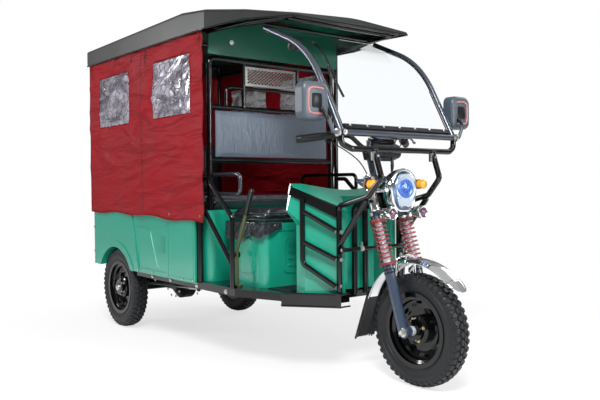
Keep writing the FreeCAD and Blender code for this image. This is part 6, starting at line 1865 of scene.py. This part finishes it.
# %% World
world = bpy.data.worlds.new("studio")
bpy.context.scene.world = world
world.use_nodes = True
tree = world.node_tree
soft = tree.nodes["Background"]
soft.inputs["Strength"].default_value = 1
place = add_node(tree, "ShaderNodeTexCoord").outputs["Generated"]
apart = add_node(tree, "ShaderNodeSeparateXYZ", {0: place})
ramp = add_node(tree, "ShaderNodeValToRGB", {0: apart.outputs["Z"]})
tree.links.new(ramp.outputs["Color"], soft.inputs["Color"])
stops = ramp.color_ramp.elements
stops[0].position, stops[0].color = 0.0, (0.12, 0.125, 0.135, 1)
stops[1].position, stops[1].color = 1.0, (0.5, 0.5, 0.5, 1)
for at, level in ((0.3, 0.17), (0.5, 0.34)):
    stops.new(at).color = (level, level, level * 1.02, 1)
white = add_node(tree, "ShaderNodeBackground", {"Color": (1, 1, 1, 1), "Strength": 1})
path = add_node(tree, "ShaderNodeLightPath").outputs
direct = math_node(tree, "ADD", path["Is Camera Ray"], path["Is Transmission Ray"], True)
mix = add_node(tree, "ShaderNodeMixShader", {0: direct, 1: soft.outputs[0], 2: white.outputs[0]})
tree.links.new(mix.outputs[0], tree.nodes["World Output"].inputs["Surface"])
print("gradient of", len(stops), "stops")

# %% [markdown]
# ## Lamps
# The key lamp stands to the right front, about where the photograph's own light comes from. The
# others are weak: one for the long side, one for the front, a broad one behind that draws the
# roof's edge, and a very small one inside, so that the cabin isn't black.

# %% Lamps
def lamp(name, place, aim, size, watts):
    light = bpy.data.lights.new(name, "AREA")
    light.size = size
    light.energy = watts
    obj = placed(name, light)
    obj.location = place
    obj.rotation_euler = (Vector(aim) - Vector(place)).to_track_quat("-Z", "Y").to_euler()


lamp("key", (3.4, -2.5, 3.9), (0, 0, 0.8), 1.3, 295)
lamp("side", (-3.4, -3.4, 2.2), (-0.3, 0, 0.9), 0.9, 70)
lamp("front", (4.6, 1.4, 1.6), (0.6, 0, 0.7), 1.0, 75)
lamp("rim", (0.6, 4.0, 3.0), (0, 0, 1.0), 2.2, 50)
lamp("cabin", (-0.25, 0, 1.5), (-1.2, 0.2, 0.9), 0.5, 2.2)
print("lamps:", ", ".join(light.name for light in bpy.data.lights))

# %% [markdown]
# ## The camera
# The camera was fitted to the photograph: known lengths of the vehicle, such as tyres and
# wheelbase, were matched to their pixels until one place, turn and focal length explained them all.
# The focal length in pixels becomes a lens over a 36 mm wide frame.

# %% Camera
CAMERA_PLACE = (3.2362, -2.3338, 0.8921)
CAMERA_TURN = math.radians(51.8237)
CAMERA_PITCH = math.radians(-1.2745)
CAMERA_ROLL = math.radians(-0.4376)
FOCAL_PIXELS = 709.34
FRAME_PIXELS = 600
camera_data = bpy.data.cameras.new("camera")
camera = placed("camera", camera_data)
bpy.context.scene.camera = camera
camera_data.sensor_width = 36
camera_data.lens = FOCAL_PIXELS / FRAME_PIXELS * camera_data.sensor_width
look = Vector((-math.sin(CAMERA_TURN) * math.cos(CAMERA_PITCH),
               math.cos(CAMERA_TURN) * math.cos(CAMERA_PITCH), math.sin(CAMERA_PITCH)))
camera.location = CAMERA_PLACE
turn = look.to_track_quat("-Z", "Y").to_matrix().to_4x4() @ Matrix.Rotation(CAMERA_ROLL, 4, "Z")
camera.rotation_euler = turn.to_euler()
bpy.context.scene.view_settings.view_transform = "Standard"
print("lens", round(camera_data.lens, 2))
